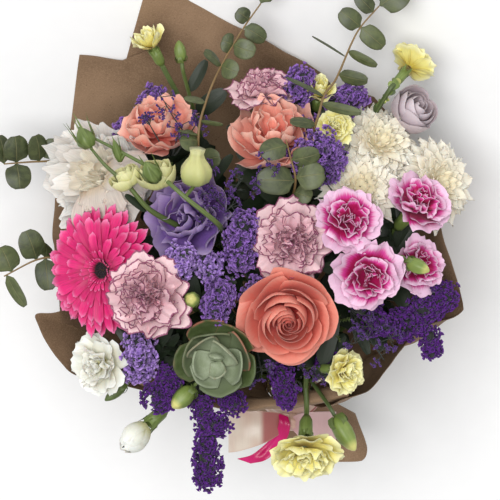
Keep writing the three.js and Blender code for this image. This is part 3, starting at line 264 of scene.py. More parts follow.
class Value:
    """A shader socket that takes part in plain arithmetic."""

    def __init__(self, shader, socket):
        self.shader = shader
        self.socket = socket

    def maths(self, operation, first, second=0.0):
        return self.shader.node("ShaderNodeMath", {"operation": operation}, {0: first, 1: second})

    def __add__(self, other):
        return self.maths("ADD", self, other)

    __radd__ = __add__

    def __sub__(self, other):
        return self.maths("SUBTRACT", self, other)

    def __rsub__(self, other):
        return self.maths("SUBTRACT", other, self)

    def __mul__(self, other):
        return self.maths("MULTIPLY", self, other)

    __rmul__ = __mul__

    def size(self):
        return self.maths("ABSOLUTE", self)

    def least(self, other):
        return self.maths("MINIMUM", self, other)

    def most(self, other):
        return self.maths("MAXIMUM", self, other)

    def between(self, low, high):
        """0 below the first value and 1 above the second, with a soft step between them."""
        settings = {"interpolation_type": "SMOOTHSTEP"}
        sockets = {"Value": self, "From Min": low, "From Max": high}
        return self.shader.node("ShaderNodeMapRange", settings, sockets)


class Shader:
    """A material and its nodes. Named sockets of its surface are set first."""

    def __init__(self, name, **surface):
        self.material = bpy.data.materials.new(name)
        self.material.use_nodes = True
        self.tree = self.material.node_tree
        self.surface = self.tree.nodes["Principled BSDF"]
        for socket, value in surface.items():
            self.set(socket.replace("_", " "), value)

    def set(self, socket, value):
        self.feed(self.surface.inputs[socket], value)

    def feed(self, socket, value):
        if isinstance(value, Value):
            self.tree.links.new(value.socket, socket)
        else:
            socket.default_value = value

    def node(self, kind, settings, sockets, output=0):
        made = self.tree.nodes.new(kind)
        for name, value in settings.items():
            setattr(made, name, value)
        for key, value in sockets.items():
            self.feed(made.inputs[key], value)
        return Value(self, made.outputs[output])

    def uv(self):
        """How far across and how far along a petal, leaf or sheet a point is, from 0 to 1."""
        vector = self.node("ShaderNodeUVMap", {"uv_map": "UVMap"}, {})
        across = self.node("ShaderNodeSeparateXYZ", {}, {0: vector}, 0)
        along = self.node("ShaderNodeSeparateXYZ", {}, {0: vector}, 1)
        return across, along

    def attribute(self, name):
        return self.node("ShaderNodeAttribute", {"attribute_name": name}, {}, "Fac")

    def place(self):
        return self.node("ShaderNodeTexCoord", {}, {}, "Object")

    def vector(self, x, y, z):
        return self.node("ShaderNodeCombineXYZ", {}, {0: x, 1: y, 2: z})

    def noise(self, vector, scale, detail=2.0, roughness=0.5):
        sockets = {"Vector": vector, "Scale": scale, "Detail": detail, "Roughness": roughness}
        return self.node("ShaderNodeTexNoise", {}, sockets)

    def mix(self, share, first, second, blend="MIX"):
        settings = {"data_type": "RGBA", "blend_type": blend}
        return self.node("ShaderNodeMix", settings, {0: share, 6: first, 7: second}, 2)

    def paint(self, colour, shade):
        """Sets the base colour, made darker where the shade is below 1 and lighter above."""
        self.set("Base Color", self.mix(1.0, colour, shade, "MULTIPLY"))

    def bump(self, height, strength, distance):
        """Raises the surface by a height from 0 to 1, times a distance in millimetres."""
        sockets = {"Height": height, "Strength": strength, "Distance": distance * MM}
        self.set("Normal", self.node("ShaderNodeBump", {}, sockets))


def petal_finish(
    name, deep, base, rim, rim_from=0.7, deep_to=0.5, veins=0.25, streaks=22, roughness=0.55,
    heart=None, blush=None, glow=0.15, spread=0.2,
):
    """A petal: its colour at its root, its middle and its rim, with fine veins along it."""
    shader = Shader(name, Roughness=roughness, Sheen_Weight=0.1, **soft(glow))
    across, along = shader.uv()
    tone = shader.attribute("tone")
    vein = shader.noise(shader.vector(across * streaks, along * 2.0, tone * 31), 1.0, 3.0)
    reach = along + (vein - 0.5) * 0.22
    colour = shader.mix(reach.between(0.05, deep_to), linear(deep), linear(base))
    colour = shader.mix(reach.between(rim_from, 1.0), colour, linear(rim))
    if heart:
        inner = shader.attribute("inner")
        colour = shader.mix(inner.between(0.35, 1.0) * 0.85, colour, linear(heart))
    if blush:
        colour = shader.mix(tone.between(0.985, 1.0) * 0.75, colour, linear(blush))
    shader.paint(colour, 1 - (vein - 0.35) * veins - (tone - 0.5) * spread)
    shader.bump(vein, 0.5, 0.5)
    return shader.material


def soft(glow):
    """The sockets that let a little light through a thin petal."""
    return {
        "Subsurface_Weight": glow, "Subsurface_Radius": (1.0, 0.6, 0.5), "Subsurface_Scale": 0.004,
    }


def edged_finish(name, pale, blush, edge):
    """A variegated carnation: pale petals, a dark line round each rim and a few flecks."""
    shader = Shader(name, Roughness=0.6, Sheen_Weight=0.1, **soft(0.15))
    across, along = shader.uv()
    tone = shader.attribute("tone")
    inner = shader.attribute("inner")
    vein = shader.noise(shader.vector(across * 20, along * 2, tone * 31), 1.0, 3.0)
    jag = shader.noise(shader.vector(across * 34, along * 1.5, tone * 17), 1.0, 2.0)
    streak = shader.noise(shader.vector(across * 26, along * 1.2, tone * 13), 1.0, 1.0)
    rim = (along + (jag - 0.5) * 0.05).between(0.95, 0.975)
    side = ((across - 0.5).size() + (jag - 0.5) * 0.02).between(0.474, 0.49)
    side = side * along.between(0.6, 0.8)
    fleck = streak.between(0.6, 0.68) * along.between(0.62, 0.95) * inner.between(0.3, 0.9)
    line = rim.most(side).most(fleck * 0.7)
    colour = shader.mix(inner * 0.4 + (1 - along) * 0.4, linear(pale), linear(blush))
    colour = shader.mix(line * 0.9, colour, linear(edge))
    shader.paint(colour, 1 - (vein - 0.4) * 0.2 - (tone - 0.5) * 0.15)
    shader.bump(vein, 0.5, 0.4)
    return shader.material


def two_tone_finish(name, heart, pink, rim):
    """A spray carnation: a deep heart that runs out in streaks into a wide pale rim."""
    shader = Shader(name, Roughness=0.55, Sheen_Weight=0.1, **soft(0.12))
    across, along = shader.uv()
    tone = shader.attribute("tone")
    inner = shader.attribute("inner")
    vein = shader.noise(shader.vector(across * 24, along * 1.6, tone * 31), 1.0, 3.0)
    reach = along + (vein - 0.5) * 0.3 - inner * 0.4
    colour = shader.mix(reach.between(0.45, 0.62), linear(heart), linear(pink))
    colour = shader.mix(reach.between(0.6, 0.82), colour, linear(rim))
    thin = (along + (vein - 0.5) * 0.04).between(0.95, 0.985)
    colour = shader.mix(thin * 0.85, colour, linear(rim))
    shader.paint(colour, 1 - (vein - 0.4) * 0.25 - (tone - 0.5) * 0.15)
    shader.bump(vein, 0.5, 0.4)
    return shader.material


def leaf_finish(name, dark, light, rim, rib, roughness=0.5, bloom=0.3):
    """A leaf with a pale midrib, side veins and a waxy bloom over its green."""
    shader = Shader(name, Roughness=roughness, Coat_Weight=0.08, Coat_Roughness=0.4)
    across, along = shader.uv()
    tone = shader.attribute("tone")
    off = (across - 0.5).size()
    cloud = shader.noise(shader.vector(across * 3, along * 4, tone * 23), 1.0, 4.0, 0.6)
    midrib = 1 - off.between(0.006, 0.026)
    slant = shader.noise(shader.vector(off * 2, (along - off * 0.7) * 22, tone * 7), 1.0, 1.0)
    side_veins = slant.between(0.55, 0.75) * 0.3
    colour = shader.mix(cloud.between(0.3, 0.7) * 0.5 + tone * 0.5, linear(dark), linear(light))
    colour = shader.mix((midrib + side_veins).least(1.0) * 0.5, colour, linear(rib))
    edge = off.between(0.4, 0.5).most(along.between(0.93, 1.0))
    colour = shader.mix(edge * 0.55, colour, linear(rim))
    shader.set("Base Color", colour)
    shader.set("Roughness", roughness + (cloud - 0.5) * bloom)
    shader.bump(midrib * -0.8 - side_veins + cloud * 0.3, 0.6, 0.5)
    return shader.material


def succulent_finish():
    """The rosette's fleshy leaves: dark outside, grey-green inside, reddish along a few rims."""
    shader = Shader("succulent_leaf", Roughness=0.55, Coat_Weight=0.05, Coat_Roughness=0.5)
    across, along = shader.uv()
    tone = shader.attribute("tone")
    inner = shader.attribute("inner")
    cloud = shader.noise(shader.vector(across * 4, along * 4, tone * 19), 1.0, 4.0, 0.6)
    speck = shader.noise(shader.place(), 1100.0, 1.0)
    colour = shader.mix(inner.between(0.0, 0.7), linear((68, 82, 42)), linear((150, 160, 134)))
    colour = shader.mix(cloud.between(0.35, 0.7) * 0.4, colour, linear((106, 120, 80)))
    edge = (across - 0.5).size().between(0.44, 0.5).most(along.between(0.94, 1.0))
    blush = edge * tone.between(0.5, 0.9) * cloud.between(0.35, 0.6)
    colour = shader.mix(blush * 0.7, colour, linear((168, 92, 78)))
    shader.paint(colour, 1 - (speck - 0.5) * 0.25)
    shader.bump(cloud * 0.5 + speck * 0.2, 0.5, 0.5)
    return shader.material


def stem_finish():
    """Stems, cups, buds and the leaves on the stems. Where tone is high it is paler and yellower,
    where inner is 0 it is a leaf inside the wrap, its green darkened nearly to black as partly
    painted shade, and where inner is high it is a tan twig."""
    shader = Shader("stem", Roughness=0.5, Coat_Weight=0.06, Coat_Roughness=0.4)
    across, along = shader.uv()
    tone = shader.attribute("tone")
    inner = shader.attribute("inner")
    ribs = shader.noise(shader.vector(across * 14, along * 1.5, tone * 11), 1.0, 3.0)
    mottle = shader.noise(shader.place(), 140.0, 3.0)
    colour = shader.mix(tone, linear((50, 66, 34)), linear((124, 144, 68)))
    colour = shader.mix(ribs.between(0.45, 0.75) * 0.35, colour, linear((150, 162, 100)))
    ripe = along.between(0.6, 0.78) * tone.between(0.78, 0.84)
    colour = shader.mix(ripe * 0.8, colour, linear((214, 208, 128)))
    # Leaves inside the wrap: their own dark green, darkened nearly to black as painted shade.
    colour = shader.mix(inner.between(0.0, 0.15), linear((30, 42, 24)), colour)
    colour = shader.mix(inner.between(0.55, 1.0), colour, linear((122, 96, 60)))
    shader.paint(colour, 1 - (mottle - 0.5) * 0.5)
    shader.bump(ribs, 0.5, 0.5)
    return shader.material


def floret_finish(name, deep, bright, tip):
    """Small papery florets: dark deep in the cup as painted shade, bright along the rim, and a
    paler painted highlight on the rims of many.
    """
    shader = Shader(name, Roughness=0.75, Sheen_Weight=0.15, Sheen_Roughness=0.5)
    along = shader.uv()[1]
    tone = shader.attribute("tone")
    inner = shader.attribute("inner")
    crinkle = shader.noise(shader.place(), 900.0, 2.0)
    # The deep colour in the cup is painted shade.
    colour = shader.mix(along.between(0.3, 0.85), linear(deep), linear(bright))
    # The tip colour on the rims is a painted highlight.
    colour = shader.mix(along.between(0.8, 1.0) * tone.between(0.4, 1.0), colour, linear(tip))
    colour = shader.mix(inner.between(0.9, 1.0), colour, linear((40, 46, 38)))
    shader.paint(colour, 1 - (crinkle - 0.5) * 0.7 - (tone - 0.5) * 0.35)
    shader.bump(crinkle, 0.5, 0.4)
    return shader.material


def kraft_finish():
    """Brown kraft paper: fibres and specks, with soft folds where it has been handled."""
    shader = Shader("kraft_paper", Roughness=0.82, Specular_IOR_Level=0.25)
    place = shader.place()
    fibre = shader.noise(place, 900.0, 3.0, 0.65)
    cloud = shader.noise(place, 11.0, 3.0, 0.5)
    fold = shader.noise(place, 22.0, 1.0, 0.4)
    speck = shader.noise(place, 520.0, 1.0).between(0.66, 0.8)
    colour = shader.mix(cloud.between(0.3, 0.7), linear((112, 88, 66)), linear((152, 124, 98)))
    colour = shader.mix(fibre.between(0.35, 0.75) * 0.45, colour, linear((172, 144, 116)))
    colour = shader.mix(speck * 0.5, colour, linear((78, 56, 38)))
    shader.set("Base Color", colour)
    shader.set("Roughness", 0.78 + (fibre - 0.5) * 0.2)
    shader.bump(fibre * 0.06 + fold, 0.7, 3.0)
    return shader.material


def satin_finish(name, lit, shade, fold=None):
    """Satin ribbon: a fine weave across and a soft sheen that follows its folds, with painted light
    and shade: patches of its lit and shaded colours, a band of painted shade near the start of a
    strip, and hem lines tinted toward the shaded colour.
    """
    shader = Shader(name, Roughness=0.35, Sheen_Weight=0.3, Sheen_Roughness=0.3, Coat_Weight=0.1)
    across, along = shader.uv()
    thread = shader.noise(shader.vector(across * 2, along * 900, 0.0), 1.0, 2.0)
    hem = (across - 0.5).size().between(0.46, 0.475)
    cloud = shader.noise(shader.place(), 30.0, 2.0)
    # Patches of painted light and shade: the lit and shaded colours mixed by a cloud.
    colour = shader.mix(cloud.between(0.3, 0.7), linear(shade), linear(lit))
    if fold:
        # A band of painted shade near the start of each strip, in the fold colour.
        shaded_band = along.between(0.02, 0.06) * (1 - along.between(0.15, 0.19))
        colour = shader.mix(shaded_band, colour, linear(fold))
    colour = shader.mix(hem * 0.3, colour, linear(shade))
    shader.paint(colour, 1 - (thread - 0.5) * 0.3)
    shader.set("Roughness", 0.33 + (thread - 0.5) * 0.2)
    shader.bump(thread * 0.3 + hem, 0.4, 0.3)
    return shader.material


def twine_finish():
    shader = Shader("twine", Roughness=0.9)
    across, along = shader.uv()
    strand = (across * 3 + along * 60) * TAU
    twist = strand.maths("SINE", strand)
    colour = shader.mix(twist.between(-1.0, 1.0), linear((120, 96, 62)), linear((192, 166, 122)))
    shader.set("Base Color", colour)
    shader.bump(twist, 0.8, 0.5)
    return shader.material


def floor_finish():
    shader = Shader("floor", Roughness=0.7, Specular_IOR_Level=0.2)
    grain = shader.noise(shader.place(), 60.0, 2.0)
    shader.set("Base Color", shader.mix(grain, linear((247, 247, 247)), linear((250, 250, 250))))
    return shader.material


PETALS = {
    # The gerbera's paler rim colour at its petals' tips is a painted highlight.
    "gerbera_petal": petal_finish(
        "gerbera_petal", (166, 0, 70), (222, 24, 112), (246, 138, 186),
        rim_from=0.66, deep_to=0.6, veins=0.75, streaks=9,
    ),
    "cream_petal": petal_finish(
        "cream_petal", (220, 198, 158), (232, 223, 213), (242, 236, 230),
        deep_to=0.35, veins=0.55, streaks=34, heart=(240, 229, 204), blush=(204, 168, 158),
        glow=0.3,
    ),
    "rose_petal": petal_finish(
        "rose_petal", (184, 54, 52), (226, 118, 102), (240, 154, 136),
        deep_to=0.75, veins=0.12, streaks=26, heart=(200, 78, 70),
    ),
    "peach_petal": petal_finish(
        "peach_petal", (206, 88, 78), (234, 150, 132), (245, 188, 170),
        rim_from=0.72, deep_to=0.6, veins=0.18, streaks=20,
    ),
    "variegated_petal": edged_finish(
        "variegated_petal", (234, 198, 200), (206, 130, 158), (120, 18, 82),
    ),
    "magenta_petal": two_tone_finish(
        "magenta_petal", (168, 0, 80), (208, 54, 144), (234, 192, 218),
    ),
    "chrysanthemum_petal": petal_finish(
        "chrysanthemum_petal", (232, 216, 184), (241, 229, 207), (246, 238, 222),
        rim_from=0.6, deep_to=0.35, veins=0.14, streaks=8, heart=(234, 220, 184), glow=0.3,
        spread=0.08,
    ),
    "lisianthus_petal": petal_finish(
        "lisianthus_petal", (54, 24, 84), (118, 82, 156), (182, 156, 204),
        rim_from=0.6, deep_to=0.6, veins=0.5, streaks=26, glow=0.25,
    ),
    "mauve_petal": petal_finish(
        "mauve_petal", (150, 132, 128), (190, 172, 178), (206, 192, 198), veins=0.2, streaks=18,
    ),
    "white_petal": petal_finish(
        "white_petal", (212, 206, 146), (234, 230, 212), (243, 241, 232),
        rim_from=0.6, veins=0.15, streaks=18, glow=0.25,
    ),
    "yellow_petal": petal_finish(
        "yellow_petal", (194, 170, 60), (232, 220, 130), (243, 238, 180),
        rim_from=0.65, deep_to=0.6, veins=0.18, streaks=18,
    ),
    "succulent_leaf": succulent_finish(),
}
GERBERA_DISC = petal_finish(
    "gerbera_disc", (14, 4, 12), (30, 8, 22), (112, 26, 60),
    rim_from=0.86, deep_to=0.6, veins=0.3, streaks=8, roughness=0.7, glow=0,
)
LEAF = leaf_finish("leaf", (42, 50, 26), (90, 99, 58), (60, 62, 30), (124, 120, 76))
LIME = petal_finish(
    "green_bud", (140, 150, 78), (198, 195, 128), (222, 218, 162),
    rim_from=0.6, veins=0.5, streaks=14,
)
STEM = stem_finish()
KRAFT = kraft_finish()
# Each finish: the painted shade deep in a floret's cup, the floret's colour, and the painted
# highlight on its rim.
FLORETS = {
    "deep_violet": floret_finish("deep_violet", (36, 4, 60), (84, 16, 124), (122, 54, 172)),
    "violet": floret_finish("violet", (68, 36, 98), (136, 94, 176), (182, 146, 210)),
    "lavender": floret_finish("lavender", (112, 78, 150), (170, 134, 206), (208, 182, 232)),
    "haze": floret_finish("haze", (34, 16, 62), (84, 44, 124), (140, 98, 178)),
}

# Blooms. Each row of a form is one layer of petals at a radius of one: how many, where the petals
# start and end, out from the bloom's axis and up, half their width, and how they differ from this.

PETAL = {
    "belly": 0.15,  # how far it bulges, down where it is above 0
    "foot": 0.35,  # half the width at the root, as a share of the widest
    "corner": 0.2,  # how far the rim's corners are drawn back
    "taper": 1.0,  # from where the petal narrows to its tip
    "cup": 0.2,  # how far its sides are raised
    "wrap": 0.0,  # how far it is wrapped round the bloom's axis
    "spiral": 0.0,  # how far one side stands further out than the other
    "lip": 0.0,  # how far the rim curls out
    "ruffle": 0.0,  # how far its rim waves up and down
    "waves": 2.0,  # how close those waves are
    "ragged": 0.04,  # how uneven its outline is
    "teeth": 0.0,  # how deep the rim's small teeth are
    "roll": 0.0,  # the most it is turned about its own length, in degrees
    "spread": 0.06,  # how much petals differ from each other
    "arc": (0, 360),  # the part of the bloom that the layer fills
    "ease": 1.0,  # how much closer the rows are toward the rim
    "columns": 8,
    "rows": 8,
}


def layer(count, start, rim, half, **more):
    return {**PETAL, "count": count, "start": start, "rim": rim, "half": half, **more}


def gerbera_form():
    strap = {"foot": 0.42, "taper": 0.86, "corner": 0.04, "ragged": 0.02, "columns": 4, "rows": 9,
             "ease": 1.6, "cup": 0.3}
    return [
        layer(28, (0.15, -0.14), (1.06, -0.06), 0.098, belly=-0.07, roll=16, **strap),
        layer(28, (0.15, -0.1), (1.0, 0.02), 0.092, belly=-0.09, roll=18, **strap),
        layer(27, (0.14, -0.06), (0.86, 0.1), 0.086, belly=-0.1, roll=20, **strap),
        layer(20, (0.14, -0.04), (0.6, 0.12), 0.07, belly=-0.12, roll=16, **strap),
        layer(26, (0.14, -0.02), (0.34, 0.1), 0.028, belly=-0.12, **strap),
        layer(32, (0.13, 0.0), (0.2, 0.09), 0.014, belly=-0.1, **strap),
    ]


def peony_form():
    frill = {"ruffle": 0.08, "waves": 1.3, "teeth": 0.06, "columns": 12, "rows": 9, "spread": 0.14,
             "ragged": 0.14}
    broad = {"ruffle": 0.1, "waves": 0.9, "columns": 14, "rows": 10, "foot": 0.5, "spread": 0.1,
             "roll": 10}
    return [
        layer(8, (0.12, -0.45), (1.02, -0.06), 0.4, belly=0.1, cup=0.05, roll=12, **frill),
        layer(10, (0.12, -0.38), (0.98, 0.08), 0.3, belly=0.1, cup=0.1, roll=20, **frill),
        layer(10, (0.1, -0.3), (0.84, 0.18), 0.26, belly=0.12, cup=0.15, roll=26, **frill),
        layer(9, (0.08, -0.24), (0.68, 0.26), 0.22, belly=0.14, cup=0.2, roll=30, **frill),
        layer(3, (0.16, 0.12), (1.04, 0.16), 0.5, belly=-0.18, arc=(284, 352), cup=0.02, **broad),
        layer(2, (0.16, 0.2), (0.8, 0.32), 0.44, belly=-0.16, arc=(300, 340), cup=0.04, **broad),
        layer(9, (0.06, -0.16), (0.5, 0.34), 0.18, belly=0.16, cup=0.25, roll=36, **frill),
        layer(8, (0.04, -0.1), (0.3, 0.34), 0.12, belly=0.16, cup=0.3, roll=40, **frill),
        layer(6, (0.02, -0.1), (0.12, 0.24), 0.06, belly=0.1, cup=0.3, roll=40, **frill),
    ]


def rose_form():
    broad = {"columns": 12, "rows": 10, "spread": 0.04, "ragged": 0.02}
    return [
        layer(5, (0.1, -0.8), (1.0, -0.16), 0.7, belly=0.2, wrap=0.35, cup=0.0, lip=0.16,
              corner=0.26, ruffle=0.05, waves=0.9, roll=6, **broad),
        layer(5, (0.1, -0.6), (0.86, 0.02), 0.6, belly=0.28, wrap=0.6, cup=0.05, lip=0.14,
              corner=0.22, ruffle=0.04, waves=0.9, roll=6, **broad),
        layer(4, (0.1, -0.5), (0.66, 0.14), 0.58, belly=0.38, wrap=0.9, lip=0.12,
              corner=0.16, spiral=0.1, ruffle=0.02, **broad),
        layer(4, (0.12, -0.45), (0.5, 0.2), 0.48, belly=0.4, wrap=1, lip=0.07, corner=0.1,
              spiral=0.12, ruffle=0.01, **broad),
        layer(3, (0.12, -0.4), (0.38, 0.22), 0.42, belly=0.36, wrap=1, lip=0.05, corner=0.08,
              spiral=0.14, **broad),
        layer(3, (0.1, -0.4), (0.28, 0.23), 0.32, belly=0.3, wrap=1, lip=0.035, corner=0.06,
              spiral=0.16, **broad),
        layer(3, (0.08, -0.4), (0.2, 0.22), 0.23, belly=0.24, wrap=1, lip=0.02, corner=0.05,
              spiral=0.16, **broad),
        layer(3, (0.06, -0.3), (0.13, 0.21), 0.16, belly=0.18, wrap=1, lip=0.01, corner=0.04,
              spiral=0.18, **broad),
        layer(2, (0.04, -0.3), (0.07, 0.19), 0.11, belly=0.12, wrap=1, corner=0.04, **broad),
        layer(1, (0.01, -0.3), (0.03, 0.17), 0.08, belly=0.05, wrap=1, corner=0.04, **broad),
    ]


def wavy_form():
    wavy = {"columns": 14, "rows": 9, "spread": 0.12, "ragged": 0.1, "lip": 0.03, "teeth": 0.02}
    return [
        layer(5, (0.1, -0.75), (1.02, -0.1), 0.68, belly=0.22, wrap=0.25, ruffle=0.14, waves=1.4,
              roll=10, cup=0.0, **wavy),
        layer(5, (0.1, -0.55), (0.88, 0.08), 0.58, belly=0.26, wrap=0.4, ruffle=0.15, waves=1.5,
              roll=16, cup=0.0, **wavy),
        layer(4, (0.1, -0.45), (0.68, 0.2), 0.5, belly=0.3, wrap=0.6, ruffle=0.14, waves=1.5,
              roll=22, **wavy),
        layer(4, (0.08, -0.4), (0.46, 0.26), 0.38, belly=0.3, wrap=0.7, ruffle=0.12, waves=1.7,
              roll=28, spiral=0.1, **wavy),
        layer(3, (0.06, -0.4), (0.28, 0.24), 0.28, belly=0.26, wrap=0.8, ruffle=0.1, waves=1.8,
              roll=34, spiral=0.1, **wavy),
        layer(2, (0.02, -0.3), (0.1, 0.18), 0.14, belly=0.1, wrap=0.8, ruffle=0.06, waves=2.0,
              roll=40, **wavy),
    ]


def carnation_form():
    crimped = {"columns": 12, "rows": 8, "foot": 0.2, "teeth": 0.045, "ragged": 0.12}
    return [
        layer(8, (0.1, -0.5), (1.0, -0.22), 0.38, belly=-0.12, cup=0.0, ruffle=0.09, waves=1.4,
              roll=14, spread=0.1, **crimped),
        layer(8, (0.1, -0.42), (0.96, -0.06), 0.36, belly=-0.08, cup=0.0, ruffle=0.12, waves=1.7,
              roll=26, spread=0.15, **crimped),
        layer(9, (0.08, -0.34), (0.8, 0.1), 0.32, belly=-0.02, ruffle=0.13, waves=1.9, roll=38,
              spread=0.17, **crimped),
        layer(9, (0.06, -0.28), (0.62, 0.2), 0.29, belly=0.02, ruffle=0.14, waves=2.2, roll=50,
              spread=0.18, **crimped),
        layer(9, (0.05, -0.2), (0.44, 0.28), 0.24, belly=0.04, ruffle=0.14, waves=2.6, roll=60,
              spread=0.2, **crimped),
        layer(8, (0.03, -0.14), (0.26, 0.31), 0.19, belly=0.04, ruffle=0.13, waves=3.0, roll=70,
              spread=0.2, **crimped),
        layer(4, (0.01, -0.14), (0.1, 0.31), 0.14, belly=0.02, ruffle=0.1, waves=3.0, roll=80,
              spread=0.2, **crimped),
    ]


def small_carnation_form():
    toothed = {"columns": 12, "rows": 8, "foot": 0.24, "teeth": 0.05, "ragged": 0.1}
    return [
        layer(6, (0.1, -0.55), (1.04, -0.14), 0.52, belly=-0.04, cup=0.0, ruffle=0.1, waves=1.3,
              roll=12, spread=0.1, **toothed),
        layer(6, (0.1, -0.42), (0.88, 0.04), 0.44, belly=0.02, cup=0.1, ruffle=0.13, waves=1.5,
              roll=22, spread=0.14, **toothed),
        layer(6, (0.08, -0.32), (0.64, 0.16), 0.36, belly=0.08, ruffle=0.14, waves=1.8, roll=36,
              wrap=0.3, spread=0.16, **toothed),
        layer(5, (0.06, -0.26), (0.44, 0.22), 0.3, belly=0.1, ruffle=0.14, waves=2.0, roll=46,
              wrap=0.4, spread=0.18, **toothed),
        layer(4, (0.04, -0.2), (0.24, 0.24), 0.22, belly=0.1, ruffle=0.12, waves=2.2, roll=54,
              wrap=0.5, spread=0.2, **toothed),
        layer(2, (0.01, -0.2), (0.08, 0.22), 0.13, belly=0.05, ruffle=0.08, waves=2.2, roll=60,
              wrap=0.5, spread=0.2, **toothed),
    ]


def chrysanthemum_form():
    blade = {"foot": 0.7, "taper": 0.76, "columns": 4, "rows": 8, "spread": 0.13, "roll": 12,
             "ragged": 0.08, "ruffle": 0.05, "ease": 1.4, "cup": 0.14, "corner": 0.12}
    return [
        layer(15, (0.08, -0.3), (1.16, -0.28), 0.19, belly=-0.12, **blade),
        layer(16, (0.08, -0.26), (1.1, -0.18), 0.185, belly=-0.1, **blade),
        layer(16, (0.08, -0.2), (1.0, -0.06), 0.175, belly=-0.09, **blade),
        layer(16, (0.07, -0.16), (0.87, 0.05), 0.165, belly=-0.06, **blade),
        layer(15, (0.06, -0.12), (0.72, 0.14), 0.15, belly=-0.02, **blade),
        layer(13, (0.05, -0.08), (0.54, 0.2), 0.125, belly=0.06, **blade),
        layer(11, (0.03, -0.05), (0.36, 0.24), 0.1, belly=0.14, **blade),
        layer(8, (0.02, -0.02), (0.18, 0.24), 0.07, belly=0.2, **blade),
    ]


def rosette_form():
    thick = {"foot": 0.62, "columns": 12, "rows": 10, "spread": 0.09, "ragged": 0.03}
    return [
        layer(5, (0.12, -0.5), (1.02, -0.12), 0.5, belly=0.16, cup=0.05, corner=0.28, **thick),
        layer(4, (0.1, -0.4), (0.86, 0.12), 0.52, belly=0.2, cup=0.1, corner=0.3, **thick),
        layer(3, (0.08, -0.3), (0.7, 0.26), 0.48, belly=0.24, cup=0.15, corner=0.32, **thick),
        layer(2, (0.06, -0.2), (0.52, 0.36), 0.42, belly=0.24, cup=0.2, corner=0.34, **thick),
        layer(2, (0.02, -0.12), (0.26, 0.36), 0.22, belly=0.22, cup=0.3, corner=0.32, **thick),
    ]


def half_open_form():
    smooth = {"columns": 12, "rows": 9, "spread": 0.06, "foot": 0.5, "ragged": 0.03}
    return [
        layer(4, (0.28, -0.85), (1.05, 0.3), 0.95, belly=0.3, wrap=0.75, lip=0.14, ruffle=0.05,
              waves=1.0, roll=6, **smooth),
        layer(4, (0.22, -0.75), (0.82, 0.52), 0.86, belly=0.3, wrap=0.9, lip=0.06, ruffle=0.04,
              waves=1.0, spiral=0.1, **smooth),
        layer(3, (0.18, -0.6), (0.56, 0.6), 0.7, belly=0.28, wrap=1, spiral=0.14, ruffle=0.03,
              **smooth),
        layer(3, (0.12, -0.5), (0.34, 0.6), 0.46, belly=0.22, wrap=1, spiral=0.16, **smooth),
        layer(2, (0.06, -0.4), (0.15, 0.56), 0.24, belly=0.14, wrap=1, spiral=0.16, **smooth),
    ]


def recurved_form():
    small = {"columns": 10, "rows": 9, "foot": 0.5, "spread": 0.14, "teeth": 0.05}
    return [
        layer(5, (0.3, -0.85), (1.25, 0.62), 0.6, belly=0.2, lip=0.5, ruffle=0.14, waves=1.2,
              roll=16, **small),
        layer(5, (0.25, -0.7), (0.8, 1.0), 0.5, belly=0.16, wrap=0.5, lip=0.2, ruffle=0.16,
              waves=1.4, roll=22, **small),
        layer(4, (0.15, -0.5), (0.4, 1.05), 0.36, belly=0.12, wrap=0.6, ruffle=0.14, waves=1.6,
              roll=32, **small),
    ]


def pointed_form():
    furled = {"columns": 12, "rows": 10, "foot": 0.7, "spread": 0.08, "corner": 0.2, "ragged": 0.1}
    return [
        layer(4, (0.46, -0.85), (0.56, 1.2), 0.9, belly=0.22, wrap=1, spiral=0.06, ruffle=0.1,
              **furled),
        layer(4, (0.42, -0.7), (0.42, 1.42), 0.8, belly=0.26, wrap=1, spiral=0.06, ruffle=0.08,
              **furled),
        layer(3, (0.36, -0.5), (0.26, 1.54), 0.7, belly=0.28, wrap=1, spiral=0.08, ruffle=0.06,
              **furled),
        layer(3, (0.26, -0.5), (0.1, 1.58), 0.5, belly=0.28, wrap=1, spiral=0.08, **furled),
    ]


FORMS = {
    "gerbera": gerbera_form(),
    "peony": peony_form(),
    "rose": rose_form(),
    "wavy": wavy_form(),
    "carnation": carnation_form(),
    "small_carnation": small_carnation_form(),
    "chrysanthemum": chrysanthemum_form(),
    "rosette": rosette_form(),
    "half_open": half_open_form(),
    "recurved": recurved_form(),
    "pointed": pointed_form(),
}


def petal_width(shape, reach):
    """Half a petal's width at a share of its length, as a share of its widest."""
    width = shape["foot"] + (1 - shape["foot"]) * math.sin(min(1.0, reach * 1.2) * math.pi / 2)
    if reach > shape["taper"]:
        past = (reach - shape["taper"]) / (1 - shape["taper"])
        width *= math.sqrt(max(0.03, 1 - past * past))
    return width


